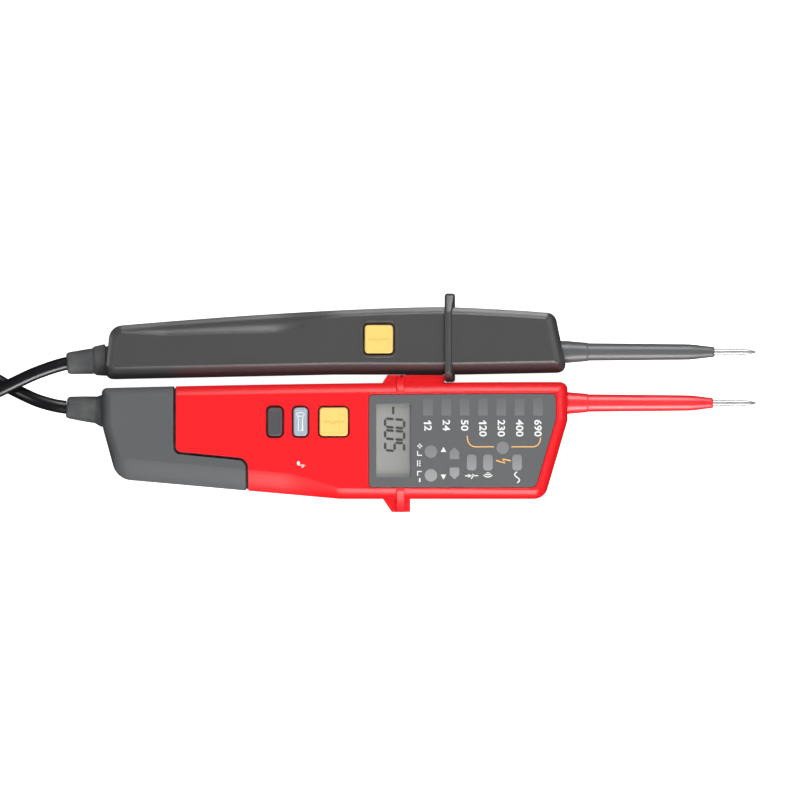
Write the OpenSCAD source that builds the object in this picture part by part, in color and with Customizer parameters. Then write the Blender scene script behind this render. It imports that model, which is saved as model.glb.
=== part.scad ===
// Two-pole voltage tester: a main unit with a display and a test probe, and a slim
// second unit docked along its side. X runs towards the probe tips, Y from the main
// unit to the second one, Z up out of the display. The main unit lies on its back.

/* [Main unit] */
// Length of the main unit's casing
main_l = 183.9; // [170:0.1:200]
// Width of the casing at the display
main_w = 46.2; // [44:0.1:54]
// Height of the casing
main_h = 30; // [29:0.1:34]
// Distance from the origin to the nose of the casing
nose_x = 61.6; // [58:0.1:66]
// Distance from the main probe's axis to the casing's docking side
dock_y = 8.3; // [8:0.1:9.5]
// Straight part of the nose, before it slants back
nose_flat_w = 15.3; // [14:0.1:20]
// How far the slanted nose runs back
nose_slant_l = 9.1; // [5:0.1:14]
// How far the docking side draws in towards the rear
dock_taper = 2.4; // [1:0.1:4]
// How far the lower side draws in towards the rear
low_taper = 7.9; // [4:0.1:10]
// Straight part of the rear end
rear_flat_w = 14.2; // [14:0.1:18]
// How far the slanted rear corner runs forward
rear_slant_l = 5.9; // [3:0.1:9]
// Width of the rounded edge, seen from above
edge_w = 3.6; // [2.5:0.1:4.5]
// Height of the rounded edge
edge_h = 9; // [6:0.1:9.5]
// Width of the rounded edge at the back
back_edge_w = 3; // [2:0.1:4]
// Height of the rounded edge at the back
back_edge_h = 5; // [3:0.1:6]
// Width of the long grip facet on the lower side
grip_w = 8.4; // [5:0.1:9]
// Length over which the grip facet fades into the edge
grip_fade_l = 18; // [10:0.1:26]
// Wall of every casing
wall = 2; // [1.6:0.05:2.2]
// Radius of the nose corner on the docking side
nose_r = 2.8; // [1.5:0.1:4]
// Radius of the nose corner on the lower side
nose_low_r = 7.3; // [5:0.1:9]
// Radius of the rear corner on the docking side
rear_r = 2; // [1:0.1:4]
// Radius of the rear corner on the lower side
rear_low_r = 7.9; // [5:0.1:9]

/* [Rear cover] */
// Length of the rear cover on the docking side
cover_l = 29.1; // [26:0.1:34]
// Length of the rear cover on the lower side
cover_low_l = 57.1; // [53:0.1:60]
// Distance from the docking side to the step in its edge
cover_step_w = 27.7; // [24:0.1:30]
// Slope of the step
cover_step_drop = 2.8; // [0:0.1:4]
// Radius of the corners of its edge
cover_r = 3; // [1:0.1:4]
// Dark gap between the rear cover and the shells
seam = 0.5; // [0.2:0.05:0.8]
// Length of the lip that the shells push into the cover
lip_l = 5; // [3:0.1:7]
// Thickness of that lip
lip_t = 1.2; // [0.8:0.05:1.5]

/* [Display panel] */
// Length of the display panel
panel_l = 73.7; // [72:0.1:76]
// Distance from the edge of the flat top to the panel
panel_in = 1.1; // [0.6:0.05:1.5]
// Thickness of the panel
panel_t = 1.2; // [1:0.05:1.6]
// How far the panel stands above the casing
panel_proud = 0.2; // [0:0.05:0.4]
// Width of the ledge that the panel is glued to
panel_ledge = 1.6; // [1.2:0.05:1.7]
// Radius of the panel's corners
panel_r = 1.6; // [0.8:0.1:3]
// Display window along X
lcd_l = 13.5; // [12:0.1:14]
// Display window along Y, as a share of the panel's width
lcd_share = 0.78; // [0.7:0.01:0.8]
// Distance from the panel's rear edge to the display window
lcd_from = 2.9; // [2.6:0.1:4]
// Spacing of the seven voltage lights
bar_pitch = 7.23; // [6.6:0.01:7.4]
// Width of a voltage light
bar_w = 3.9; // [3:0.1:4.6]
// Length of a voltage light
bar_l = 6.6; // [5:0.1:7]
// Distance from the panel's rear edge to the first voltage light
bar_from = 23.3; // [22:0.1:24]
// Distance from the panel's upper edge to the middle of the voltage lights
bar_down = 5.26; // [4.8:0.02:5.6]
// Radius of the round lights
lamp_r = 2.5; // [1.8:0.1:2.8]
// Width of an arrow or long light
pill_w = 3.8; // [3:0.1:4.2]
// Length of a long light
pill_l = 6.3; // [5:0.1:7]
// Length of an arrow light
arrow_l = 4.7; // [4:0.1:5.4]

/* [Buttons] */
// Side of the square test buttons
test_s = 11.2; // [9:0.1:12]
// Width of the torch button
torch_w = 5.5; // [4.5:0.1:6.5]
// Width of the hold button
hold_w = 5.7; // [4.5:0.1:6.5]
// Distance from the nose to the test button's middle
test_from = 92.3; // [91:0.1:94]
// Spacing from the test button to the torch button
torch_step = 13.1; // [12.6:0.1:14]
// Spacing from the torch button to the hold button
hold_step = 10.1; // [9.6:0.1:11]
// Distance from the docking side to the buttons' middle
button_down = 15.7; // [14:0.1:17]
// How far a button stands above the casing
button_proud = 1; // [0.9:0.05:1.6]
// Travel of a button
button_travel = 0.8; // [0.4:0.05:0.8]
// Gap around a button
button_gap = 0.4; // [0.25:0.05:0.5]
// Corner radius of a button
button_r = 1.4; // [0.6:0.1:2]
// Width of the flange that holds a button in
flange_w = 0.9; // [0.6:0.05:1.2]
// Thickness of that flange
flange_t = 1.9; // [1.2:0.1:2]

/* [Dock and finger barrier] */
// Distance from the nose to the middle of the barrier ribs
rib_from = 66; // [65:0.1:68]
// Thickness of a barrier rib
rib_t = 3; // [2.4:0.1:3.6]
// How far the barrier stands out on the docking side
rib_dock = 2.6; // [2:0.05:2.6]
// How far the barrier stands out on the lower side
rib_low = 5.2; // [4:0.1:7]
// Run of the slanted web behind each rib
web_l = 5.1; // [3:0.1:7]
// Thickness of the block in front of each rib
block_t = 2.4; // [1.5:0.1:3]
// Length of the dock rail
rail_l = 14.8; // [12:0.1:15]
// Height of the rail's neck
rail_neck_h = 6; // [4:0.1:7]
// Height of the rail's head
rail_head_h = 9; // [8:0.1:9.4]
// Thickness of the rail's head
rail_head_t = 1.8; // [1.2:0.1:2]
// Travel of the second unit along the rail
dock_travel = 15; // [12:0.1:15.5]
// Clearance of the sliding dock
dock_gap = 0.3; // [0.2:0.05:0.4]

/* [Second unit] */
// Length of the second unit's casing
aux_l = 182.8; // [172:0.1:190]
// Width of its casing at the crest
aux_w = 26.7; // [25:0.1:30]
// Height of its casing
aux_h = 23; // [22.6:0.1:24]
// Distance from the main casing to the second one
aux_gap = 2.9; // [2.8:0.05:3.6]
// Distance from its nose to the crest of its outer side
crest_from = 50.5; // [45:0.1:56]
// How far its outer side falls towards the nose
aux_nose_drop = 2.4; // [1:0.1:4]
// How far its outer side falls towards the rear
aux_rear_drop = 7.6; // [5:0.1:8]
// How far its nose slants back
aux_slant_l = 4.9; // [3:0.1:7]
// Width of its outer rounded edge
aux_edge_w = 1.8; // [1.4:0.1:2.6]
// Width of its grip facet at the front end
aux_grip_w = 6.6; // [4:0.1:7]
// Width of its grip facet at the rear end
aux_grip_rear_w = 3.2; // [2.6:0.1:4]
// Width of its edge on the docking side
aux_dock_w = 4.2; // [3:0.1:4.6]
// Width of its edge at the nose
aux_nose_w = 3.2; // [2:0.1:4]
// Height of its upper rounded edge
aux_edge_h = 6.5; // [5:0.1:6.6]
// Width of its rounded edge at the back
aux_back_w = 3; // [2:0.1:3.4]
// Height of its rounded edge at the back
aux_back_h = 4.5; // [3:0.1:5]
// Distance from the crest to its button's middle along X
aux_button_back = 24; // [22:0.1:26]
// Distance from the crest to its button's middle along Y
aux_button_down = 12.7; // [12.4:0.1:13.4]
// Height of the finger guard
guard_h = 27.6; // [27:0.1:28]
// How far the guard's wing stands out past the crest
guard_out = 5.4; // [4:0.1:7]
// Thickness of the guard at mid height
guard_t = 4.1; // [3.4:0.1:4.4]
// Thickness of the guard at its top and bottom ridge
guard_ridge_t = 2.3; // [1.8:0.1:3]

/* [Probes] */
// Distance from the docking side to the second probe's axis
aux_probe_y = 11.9; // [11.6:0.1:12.4]
// Length of each probe tip past the nose
tip_out = 74.8; // [70:0.1:80]
// Length of the bare steel rod and point
tip_bare_l = 17.6; // [12:0.1:19]
// Length of the point
tip_point_l = 7.5; // [6:0.1:9]
// Radius of the steel rod
tip_r = 1.05; // [0.9:0.05:1.2]
// Radius of a sleeve's collar
collar_r = 4.35; // [4:0.05:4.6]
// Length of a sleeve's collar past the nose
collar_l = 8; // [6:0.1:10]
// Radius of a sleeve at the collar
sleeve_r = 3.45; // [3.2:0.05:3.6]
// Radius of a sleeve where its taper starts
sleeve_end_r = 3.05; // [2.8:0.05:3.1]
// Radius of a sleeve at its open end
mouth_r = 1.95; // [1.7:0.05:2.2]
// Length of the taper at a sleeve's end
taper_l = 9; // [6:0.1:12]

/* [Electronics] */
// Thickness of the boards
board_t = 1.6; // [1:0.1:1.6]
// Side of a push switch
switch_s = 6; // [5:0.1:6.4]
// Height of a push switch
switch_h = 3.5; // [3:0.1:3.6]
// Diameter of an AAA cell
cell_d = 10.5; // [10:0.1:10.5]
// Length of an AAA cell
cell_l = 44.5; // [44:0.1:45]
// Radius of the buzzer
buzzer_r = 6; // [4:0.1:6.5]
// Radius of the torch lens
torch_r = 2.5; // [1.8:0.1:2.8]
// Length of the battery door's end that takes its screw
door_end_l = 11.5; // [11:0.1:13]
// Width of the battery door
door_w = 27; // [26.6:0.1:28]

/* [Cord] */
// Diameter of the cord
cord_d = 5.2; // [4.8:0.1:5.4]
// Length of a gland outside the casing
gland_l = 14.2; // [12:0.1:15]
// Radius of a gland at the cord
gland_end_r = 4.3; // [3.8:0.1:4.6]
// Radius of a gland at its collar
gland_r = 5.3; // [4.8:0.1:5.6]
// Radius of the gland's collar
gland_collar_r = 6.1; // [5.8:0.1:6.4]
// Angle by which each gland leans towards the other
gland_lean = 5; // [0:0.5:6]
// Radius of the outermost turn of the coil
coil_r = 37; // [36:0.1:40]
// Spacing of the turns and layers of the coil
coil_pitch = 6.4; // [6.2:0.1:7]

/* [Hidden] */
// Segments of each full circle
$fn = 48;
// Sides of a rounded corner in plan, and steps of a rounded edge
corner_steps = 4;
edge_steps = 4;
// One overrun serves all cuts
over = 1;
// A small clearance between pieces that lie together
fit = 0.1;
// Smallest radius of a corner that is set in
least_r = 0.8;
axis_z = main_h / 2;
rear_x = nose_x - main_l;
low_y = dock_y - main_w;
rear_dock_y = dock_y - dock_taper;
// Where the lower side bends, and where the grip facet starts to widen, from the nose
bend_share = 0.488;
grip_share = 0.4655;
bend_x = nose_x - bend_share * main_l;
grip_x = nose_x - grip_share * main_l;
main_mid = [rear_x + main_l * 2 / 3, dock_y - main_w / 4];

// Plane geometry: unit vector, left-hand normal, cross product, and where two lines meet
function unit(v) = v / norm(v);
function left(v) = [-v[1], v[0]];
function cross2(a, b) = a[0] * b[1] - a[1] * b[0];
function meet(p, d, q, e) = p + d * cross2(q - p, e) / cross2(d, e);
function smooth(t) = let (c = min(1, max(0, t))) c * c * (3 - 2 * c);
function mix(a, b, t) = a + (b - a) * t;

// The corner v of an outline a-v-b, set in by in_a and in_b from its two sides
function set_in(a, v, b, in_a, in_b) =
    let (d = unit(v - a), e = unit(b - v))
    meet(v + in_a * left(d), d, v + in_b * left(e), e);

// The same corner rounded with radius r
function corner(a, v, b, in_a, in_b, r) =
    let (
        d = unit(v - a),
        turn = atan2(cross2(d, unit(b - v)), d * unit(b - v)),
        mid = set_in(a, v, b, in_a, in_b) - d * r * tan(turn / 2) + r * left(d),
        from = atan2(-left(d)[1], -left(d)[0])
    )
    [for (i = [0 : corner_steps]) let (a = from + turn * i / corner_steps) mid + r * [cos(a), sin(a)]];

// Sharp corners of the main casing in plan
nose_top = [nose_x, dock_y];
nose_bend = [nose_x, dock_y - nose_flat_w];
nose_low = [nose_x - nose_slant_l, low_y];
low_bend = [bend_x, low_y];
rear_low = [rear_x + rear_slant_l, low_y + low_taper];
rear_bend = [rear_x, rear_dock_y - rear_flat_w];
rear_top = [rear_x, rear_dock_y];
dock_side_shares = [0.15, 0.35, 0.55, 0.75, 0.9];
low_side_shares = [0.1, 0.3, 0.45, 0.6, 0.68, 0.76, 0.84, 0.9, 1];
function dock_side_y(x) = dock_y - dock_taper * pow((nose_x - x) / main_l, 2);
function low_side_y(x) = mix(low_y, rear_low[1], max(0, (bend_x - x) / (bend_x - rear_low[0])));
function grip_in(x) = (grip_w - edge_w) * smooth((grip_x - x) / grip_fade_l);

// Outline of the main casing, set in by w, with a share g of the grip facet
function main_ring(w, g) =
    let (rear_x1 = nose_x - main_l * dock_side_shares[4], rear_side = [rear_x1, dock_side_y(rear_x1)])
    concat(
        corner(nose_bend, nose_top, rear_side, w, w, max(nose_r - w, least_r)),
        [for (s = dock_side_shares) let (x = nose_x - s * main_l) [x, dock_side_y(x) - w]],
        corner(rear_side, rear_top, rear_bend, w, w, max(rear_r - w, least_r)),
        [set_in(rear_top, rear_bend, rear_low, w, w)],
        corner(rear_bend, rear_low, low_bend, w, w + g * (grip_w - edge_w), max(rear_low_r - w, least_r)),
        [for (s = low_side_shares) let (x = mix(rear_low[0] + rear_low_r, bend_x, s))
            [x, low_side_y(x) + w + g * grip_in(x)]],
        corner(low_bend, nose_low, nose_bend, w, w, max(nose_low_r - w, least_r)),
        [set_in(nose_low, nose_bend, nose_top, w, w)]
    );

// Levels of a casing, from its back to its top: [z, share of the back edge, share of the top edge]
function levels(z0, back_h, top_h, z1) = concat(
    [for (k = [edge_steps : -1 : 0]) let (a = 90 * k / edge_steps)
        [z0 + back_h * (1 - sin(a)), 1 - cos(a), 0]],
    [for (k = [0 : edge_steps]) let (a = 90 * k / edge_steps)
        [z1 - top_h * (1 - sin(a)), 0, 1 - cos(a)]]
);

main_rings = [for (l = levels(0, back_edge_h, edge_h, main_h))
    [l[0], main_ring(l[1] * back_edge_w + l[2] * edge_w, l[2])]];

// A closed skin through outlines at rising heights, with a fan from mid at each end
module loft(rings, mid) {
    n = len(rings[0][1]);
    m = len(rings);
    points = concat(
        [for (r = rings) for (p = r[1]) [p[0], p[1], r[0]]],
        [[mid[0], mid[1], rings[0][0]], [mid[0], mid[1], rings[m - 1][0]]]
    );
    sides = [for (k = [0 : m - 2]) for (i = [0 : n - 1]) let (j = (i + 1) % n)
        each [[k * n + i, (k + 1) * n + i, (k + 1) * n + j], [k * n + i, (k + 1) * n + j, k * n + j]]];
    ends = [for (i = [0 : n - 1]) let (j = (i + 1) % n)
        each [[i, j, m * n], [(m - 1) * n + j, (m - 1) * n + i, m * n + 1]]];
    polyhedron(points, concat(sides, ends));
}

// A plan outline extruded between two heights
module prism(z0, z1) {
    translate([0, 0, z0])
        linear_extrude(z1 - z0)
            children();
}

// A profile in Y and Z extruded along X
module along_x(x0, x1) {
    translate([x0, 0, 0])
        rotate([90, 0, 90])
            linear_extrude(x1 - x0)
                children();
}

// A round bar along X
module bar_x(x0, x1, y, z, r) {
    translate([x0, y, z])
        rotate([0, 90, 0])
            cylinder(h = x1 - x0, r = r);
}

module rounded(size, r) {
    offset(r = r)
        offset(delta = -r)
            square(size, center = true);
}

// The main unit's inside, in two steps under the rounded edge
space_top = main_h - wall;
side_z = main_h - edge_h;

module main_space() {
    prism(wall, back_edge_h)
        offset(delta = -wall)
            polygon(main_ring(back_edge_w, 0));
    prism(back_edge_h, side_z)
        offset(delta = -wall)
            polygon(main_ring(0, 0));
    prism(side_z, space_top)
        offset(delta = -wall)
            polygon(main_ring(edge_w, 1));
}

// Finger barrier: a rib over each side, a slanted web behind it and a block in front
rib_x = nose_x - rib_from;
rib_top_drop = 4;
rib_side_z = main_h / 4;
web_side_z = main_h / 3.5;
block_side_z = main_h / 3;
rib_front_x = rib_x + rib_t / 2;
rib_back_x = rib_x - rib_t / 2;

module rib_profile(side, out, dir) {
    polygon([
        [side - dir * edge_w, rib_side_z],
        [side + dir * out, rib_side_z],
        [side + dir * out, main_h - rib_side_z],
        [side + dir * out / 3, main_h - rib_top_drop],
        [side - dir * edge_w, main_h]
    ]);
}

module barrier(side, out, dir) {
    along_x(rib_back_x, rib_front_x)
        rib_profile(side, out, dir);
    prism(web_side_z, main_h - web_side_z)
        polygon([
            [rib_x, side - dir * edge_w],
            [rib_x, side + dir * out],
            [rib_back_x - web_l + web_l * out / (rib_low + rib_dock), side + dir * out],
            [rib_back_x - web_l, side],
            [rib_back_x - web_l, side - dir * edge_w]
        ]);
    prism(block_side_z, main_h - block_side_z)
        polygon([
            [rib_x, side - dir * edge_w],
            [rib_front_x + block_t, side - dir * edge_w],
            [rib_front_x + block_t, side + dir * (out - fit)],
            [rib_x, side + dir * (out - fit)]
        ]);
}

// Dock rail: a neck and a wider head that slides behind the second unit's wall
rail_x = nose_x - rib_from + rib_t / 2 + 0.26 * block_t;
aux_low_y = dock_y + aux_gap;
rail_neck_y = aux_low_y + wall + dock_gap;

module rail() {
    prism(axis_z - rail_neck_h / 2, axis_z + rail_neck_h / 2)
        polygon([
            [rail_x, dock_y - edge_w],
            [rail_x + rail_l, dock_y - edge_w],
            [rail_x + rail_l, rail_neck_y + rail_head_t],
            [rail_x, rail_neck_y + rail_head_t]
        ]);
    prism(axis_z - rail_head_h / 2, axis_z + rail_head_h / 2)
        translate([rail_x, rail_neck_y])
            square([rail_l, rail_head_t]);
}

// Hollow main casing with its barrier and rail, before it is split into pieces
module main_casing() {
    difference() {
        union() {
            loft(main_rings, main_mid);
            barrier(dock_y, rib_dock, 1);
            barrier(low_y, rib_low, -1);
            rail();
        }
        main_space();
    }
}

// The rear cover's edge in plan, moved forward by d
module cover_plan(d) {
    x1 = rear_x + cover_l;
    x2 = rear_x + cover_low_l;
    step_y = dock_y - cover_step_w;
    offset(delta = d)
        offset(r = -cover_r)
            offset(delta = 2 * cover_r)
                offset(r = -cover_r)
                    polygon([
                        [rear_x - main_w, dock_y + main_w],
                        [rear_x - main_w, low_y - main_w],
                        [x2, low_y - main_w],
                        [x2, step_y - cover_step_drop],
                        [x1, step_y],
                        [x1, dock_y + main_w]
                    ]);
}

// Lip on the shells that pushes into the rear cover
module lip(z0, z1) {
    prism(z0, z1) {
        intersection() {
            difference() {
                offset(delta = -wall - fit)
                    polygon(main_ring(0, 0));
                offset(delta = -wall - fit - lip_t)
                    polygon(main_ring(0, 0));
            }
            difference() {
                cover_plan(lip_l);
                cover_plan(-lip_l);
            }
        }
        intersection() {
            difference() {
                offset(delta = -wall / 2)
                    polygon(main_ring(0, 0));
                offset(delta = -wall - fit - lip_t)
                    polygon(main_ring(0, 0));
            }
            difference() {
                cover_plan(lip_l);
                cover_plan(seam);
            }
        }
    }
}

// Where the display panel lies
panel_x = nose_x - edge_w - panel_in - panel_l;
panel_y = dock_y - edge_w - panel_in;
panel_w = main_w - 2 * (edge_w + panel_in);
panel_floor = main_h + panel_proud - panel_t;
panel_top = main_h + panel_proud;

module panel_plan() {
    offset(r = panel_r)
        offset(delta = -panel_r)
            intersection() {
                polygon(main_ring(edge_w + panel_in, 0));
                translate([panel_x, low_y])
                    square([panel_l + edge_w, main_w]);
            }
}

lcd_w = panel_w * lcd_share;
lcd_mid = [panel_x + lcd_from + lcd_l / 2, panel_y - panel_w / 2 - fit];
voltage_steps = 7;
bar_y = panel_y - bar_down;
function bar_x(i) = panel_x + bar_from + i * bar_pitch;
// Middles of the other lights, as shares of the panel's length and width from its upper rear corner
round_shares = [[0.332, 0.618], [0.332, 0.872], [0.716, 0.577]];
arrow_shares = [[0.458, 0.635], [0.458, 0.852]];
pill_shares = [[0.55, 0.735], [0.637, 0.735], [0.793, 0.735]];
function on_panel(s) = [panel_x + s[0] * panel_l, panel_y - s[1] * panel_w];

// Plans of the lights, grown by d for their windows
module bars_plan(d) {
    for (i = [0 : voltage_steps - 1])
        translate([bar_x(i), bar_y])
            square([bar_w + 2 * d, bar_l + 2 * d], center = true);
}

module signals_plan(d) {
    for (s = round_shares)
        translate(on_panel(s))
            circle(r = lamp_r + d);
    for (k = [0, 1])
        translate(on_panel(arrow_shares[k]))
            mirror([0, k])
                offset(delta = d)
                    polygon([
                        [-pill_w / 2, -arrow_l / 2],
                        [pill_w / 2, -arrow_l / 2],
                        [pill_w / 2, arrow_l / 8],
                        [0, arrow_l / 2],
                        [-pill_w / 2, arrow_l / 8]
                    ]);
    for (s = pill_shares)
        translate(on_panel(s))
            offset(delta = d)
                rounded([pill_w, pill_l], pill_w / 3);
}

// Buttons of the main unit
button_y = dock_y - button_down;
test_x = nose_x - test_from;
torch_x = test_x - torch_step;
hold_x = torch_x - hold_step;
flange_top = space_top - fit;
board_top = main_h * 2 / 3;
board_z = board_top - board_t;
switch_top = board_top + switch_h;
plunger_r = switch_s / 3.5;
plunger_dip = button_travel + switch_h / 10;
stem_z = switch_top + button_travel + switch_h / 8;

module button_plan(w, d) {
    rounded([w + 2 * d, test_s + 2 * d], button_r + d / 2);
}

// A button: its cap, the flange that holds it in, and the stem on the plunger
module button(x, y, w, top, under, stem) {
    translate([x, y, 0]) {
        prism(under - flange_t, top - button_r / 4)
            button_plan(w, 0);
        prism(top - button_r / 4, top)
            offset(delta = -button_r / 4)
                button_plan(w, 0);
        prism(under - flange_t, under)
            button_plan(w, flange_w);
        translate([0, 0, stem])
            cylinder(h = under - stem, r = plunger_r);
    }
}

module plunger(x, y, case_top, stem) {
    translate([x, y, case_top - plunger_dip])
        cylinder(h = stem - case_top + plunger_dip, r = plunger_r);
}

module push_switch(x, y, base) {
    difference() {
        translate([x - switch_s / 2, y - switch_s / 2, base])
            cube([switch_s, switch_s, switch_h]);
        translate([x, y, base + switch_h / 4])
            cylinder(h = switch_h, r = plunger_r + fit * 2);
    }
}

// Casing screws: places, radii and heights
screw_r = 1.2;
screw_head_r = 2.2;
screw_head_h = 1.8;
screw_sink = 1.2;
boss_r = 2.9;
boss_wall_y = wall + boss_r - fit * 3;
dock_screw_share = 0.34;
low_screw_share = 0.118;
main_screws = [
    [rear_x + cover_l + boss_r * 2.6, dock_y - boss_wall_y - dock_taper * 2 / 3],
    [rear_x + cover_low_l + boss_r * 2, low_side_y(rear_x + cover_low_l + boss_r * 2) + boss_wall_y],
    [nose_x - dock_screw_share * main_l, dock_y - boss_wall_y],
    [nose_x - low_screw_share * main_l, low_y + boss_wall_y]
];
screw_top = board_top + wall / 2;

module screw(p, z0, z1) {
    translate([p[0], p[1], z0 + screw_sink]) {
        difference() {
            cylinder(h = screw_head_h, r = screw_head_r);
            translate([-screw_r / 4, -screw_r * 1.2, -over])
                cube([screw_r / 2, screw_r * 2.4, over + screw_head_h / 2]);
            translate([-screw_r * 1.2, -screw_r / 4, -over])
                cube([screw_r * 2.4, screw_r / 2, over + screw_head_h / 2]);
        }
        cylinder(h = z1 - z0 - screw_sink, r = screw_r);
    }
}

module screw_hole(p, z0) {
    translate([p[0], p[1], z0 - over])
        cylinder(h = screw_sink + screw_head_h + over, r = screw_head_r + fit * 2);
    translate([p[0], p[1], z0])
        cylinder(h = axis_z * 2, r = screw_r + fit);
}

// Probe passage through a nose, and the torch in the slanted nose
nose_angle = atan2(nose_slant_l, main_w - nose_flat_w);
torch_share = 0.44;
hole_sides = 12;
torch_at = mix(nose_bend, nose_low, torch_share);

module in_nose(d) {
    translate([torch_at[0], torch_at[1], axis_z])
        rotate([0, 90, -nose_angle])
            translate([0, 0, d])
                children();
}

// Probes: the flange of each sleeve bears on the inside of the nose
flange_r = collar_r + wall * 0.55;
flange_thick = 2;
inner_l = 6;
collar_inner = wall + fit * 2 + flange_thick;

module probe_hole(x, y) {
    bar_x(x - wall * 3, x + over, y, axis_z, collar_r + fit / 2);
}

// The steel rod is thinner inside its sleeve
tip_hidden_r = tip_r * 0.8;

// One sleeve, turned about its axis; nose is the casing's face on that axis
module sleeve(nose, y, inner) {
    end = tip_out - tip_bare_l;
    translate([nose, y, axis_z])
        rotate([0, 90, 0])
            difference() {
                rotate_extrude()
                    polygon([
                        [0, -inner - flange_thick],
                        [flange_r, -inner - flange_thick],
                        [flange_r, -inner],
                        [collar_r, -inner],
                        [collar_r, collar_l / 8],
                        [mix(collar_r, sleeve_r, 0.75), collar_l],
                        [sleeve_r, collar_l + fit * 2],
                        [sleeve_end_r, end - taper_l],
                        [mouth_r, end],
                        [0, end]
                    ]);
                translate([0, 0, -inner - flange_thick - over])
                    cylinder(h = end + inner + flange_thick + 2 * over, r = tip_hidden_r + fit / 2);
            }
}

// One steel tip with its fine neck and point
module steel_tip(nose, y, inner) {
    start = -inner - flange_thick - inner_l;
    mouth = tip_out - tip_bare_l;
    shoulder = tip_out - tip_point_l;
    translate([nose, y, axis_z])
        rotate([0, 90, 0])
            rotate_extrude()
                polygon([
                    [0, start],
                    [tip_hidden_r, start],
                    [tip_hidden_r, mouth],
                    [tip_r, mouth],
                    [tip_r, shoulder - tip_r],
                    [tip_r * 0.8, shoulder - tip_r * 0.8],
                    [tip_r * 0.8, shoulder - tip_r * 0.5],
                    [tip_r, shoulder - tip_r * 0.3],
                    [tip_r, shoulder],
                    [tip_r * 0.2, tip_out - tip_r * 0.2],
                    [0, tip_out]
                ]);
}

// A sprung clip on the board that grips the end of a steel tip
module clip(nose, y, inner, z0, z1) {
    x0 = nose - inner - flange_thick - inner_l;
    difference() {
        translate([x0, y - tip_r * 3, z0])
            cube([inner_l - fit * 2, tip_r * 6, z1 - z0]);
        bar_x(x0 - over, x0 + inner_l + over, y, axis_z, tip_hidden_r + fit / 2);
    }
}

// Glands: tapered rubber, a collar outside the wall and a flange inside it
gland_neck_r = 4.4;
gland_collar_t = 2.4;
gland_flange_t = 1.6;
gland_flange_r = 5.4;

gland_sink = wall * 0.75;
gland_flange_at = wall * 1.65;

module at_gland(at, lean) {
    translate([at[0], at[1], axis_z])
        rotate([0, -90, lean])
            children();
}

// One gland: its collar is cut to the wall, which leans by wall_lean
module gland(at, lean, wall_lean) {
    difference() {
        at_gland(at, lean)
            rotate_extrude()
                polygon([
                    [0, -gland_sink],
                    [gland_collar_r, -gland_sink],
                    [gland_collar_r, gland_collar_t * 0.7],
                    [gland_r, gland_collar_t],
                    [gland_end_r, gland_l - gland_end_r / 8],
                    [gland_end_r * 0.85, gland_l],
                    [0, gland_l]
                ]);
        translate([at[0], at[1], 0])
            rotate([0, 0, wall_lean])
                translate([-fit * 1.5, -aux_w, 0])
                    cube([aux_w, 2 * aux_w, 2 * axis_z]);
    }
    at_gland(at, lean)
        translate([0, 0, -gland_flange_at])
            cylinder(h = gland_flange_at + gland_collar_t / 2, r = gland_neck_r);
    at_gland(at, lean)
        translate([0, 0, -gland_flange_at - gland_flange_t])
            cylinder(h = gland_flange_t, r = gland_flange_r);
}

module gland_hole(at, lean) {
    at_gland(at, lean)
        translate([0, 0, -wall * 3])
            cylinder(h = wall * 4, r = gland_neck_r + fit);
}

main_gland_at = [rear_x, rear_dock_y - rear_flat_w / 2 - wall * 0.86];

// Second unit: sharp corners in plan
aux_nose_x = nose_x;
aux_crest_y = aux_low_y + aux_w;
aux_crest_x = aux_nose_x - crest_from;
aux_rear_x = aux_nose_x - aux_l;
aux_z = axis_z - aux_h / 2 + fit * 5;
aux_top = aux_z + aux_h;
aux_side_z = aux_top - aux_edge_h;
// The docking side draws in towards both ends, past the dock
aux_rear_in = 1.9;
aux_nose_in = 0.8;
aux_rear_slant = 2.2;
dock_back_share = 0.5;
dock_front_share = 0.23;
aux_dock_back = [aux_nose_x - dock_back_share * aux_l, aux_low_y];
aux_dock_front = [aux_nose_x - dock_front_share * aux_l, aux_low_y];
aux_nose_low = [aux_nose_x, aux_low_y + aux_nose_in];
aux_nose_top = [aux_nose_x - aux_slant_l, aux_crest_y - aux_nose_drop];
aux_rear_top = [aux_rear_x + aux_rear_slant, aux_crest_y - aux_rear_drop];
aux_rear_low = [aux_rear_x, aux_low_y - aux_rear_in];
aux_side_shares = [0.1, 0.25, 0.4, 0.5, 0.56, 0.62, 0.7, 0.85];
aux_nose_side = [mix(aux_crest_x, aux_nose_top[0], 2 / 3), 0];
function aux_side_y(x) = x > aux_crest_x
    ? aux_crest_y - aux_nose_drop * pow((x - aux_crest_x) / (aux_nose_top[0] - aux_crest_x), 1.4)
    : aux_crest_y - aux_rear_drop * pow((aux_crest_x - x) / (aux_crest_x - aux_rear_top[0]), 1.5);
aux_grip_share = 0.32;
aux_grip_x = mix(aux_crest_x, aux_rear_x, aux_grip_share);
function aux_grip_in(x) =
    let (
        x1 = aux_grip_x - grip_fade_l,
        full = mix(aux_grip_w, aux_grip_rear_w, (x1 - x) / (x1 - aux_rear_x))
    )
    (full - aux_edge_w) * smooth((aux_grip_x - x) / grip_fade_l);

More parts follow.
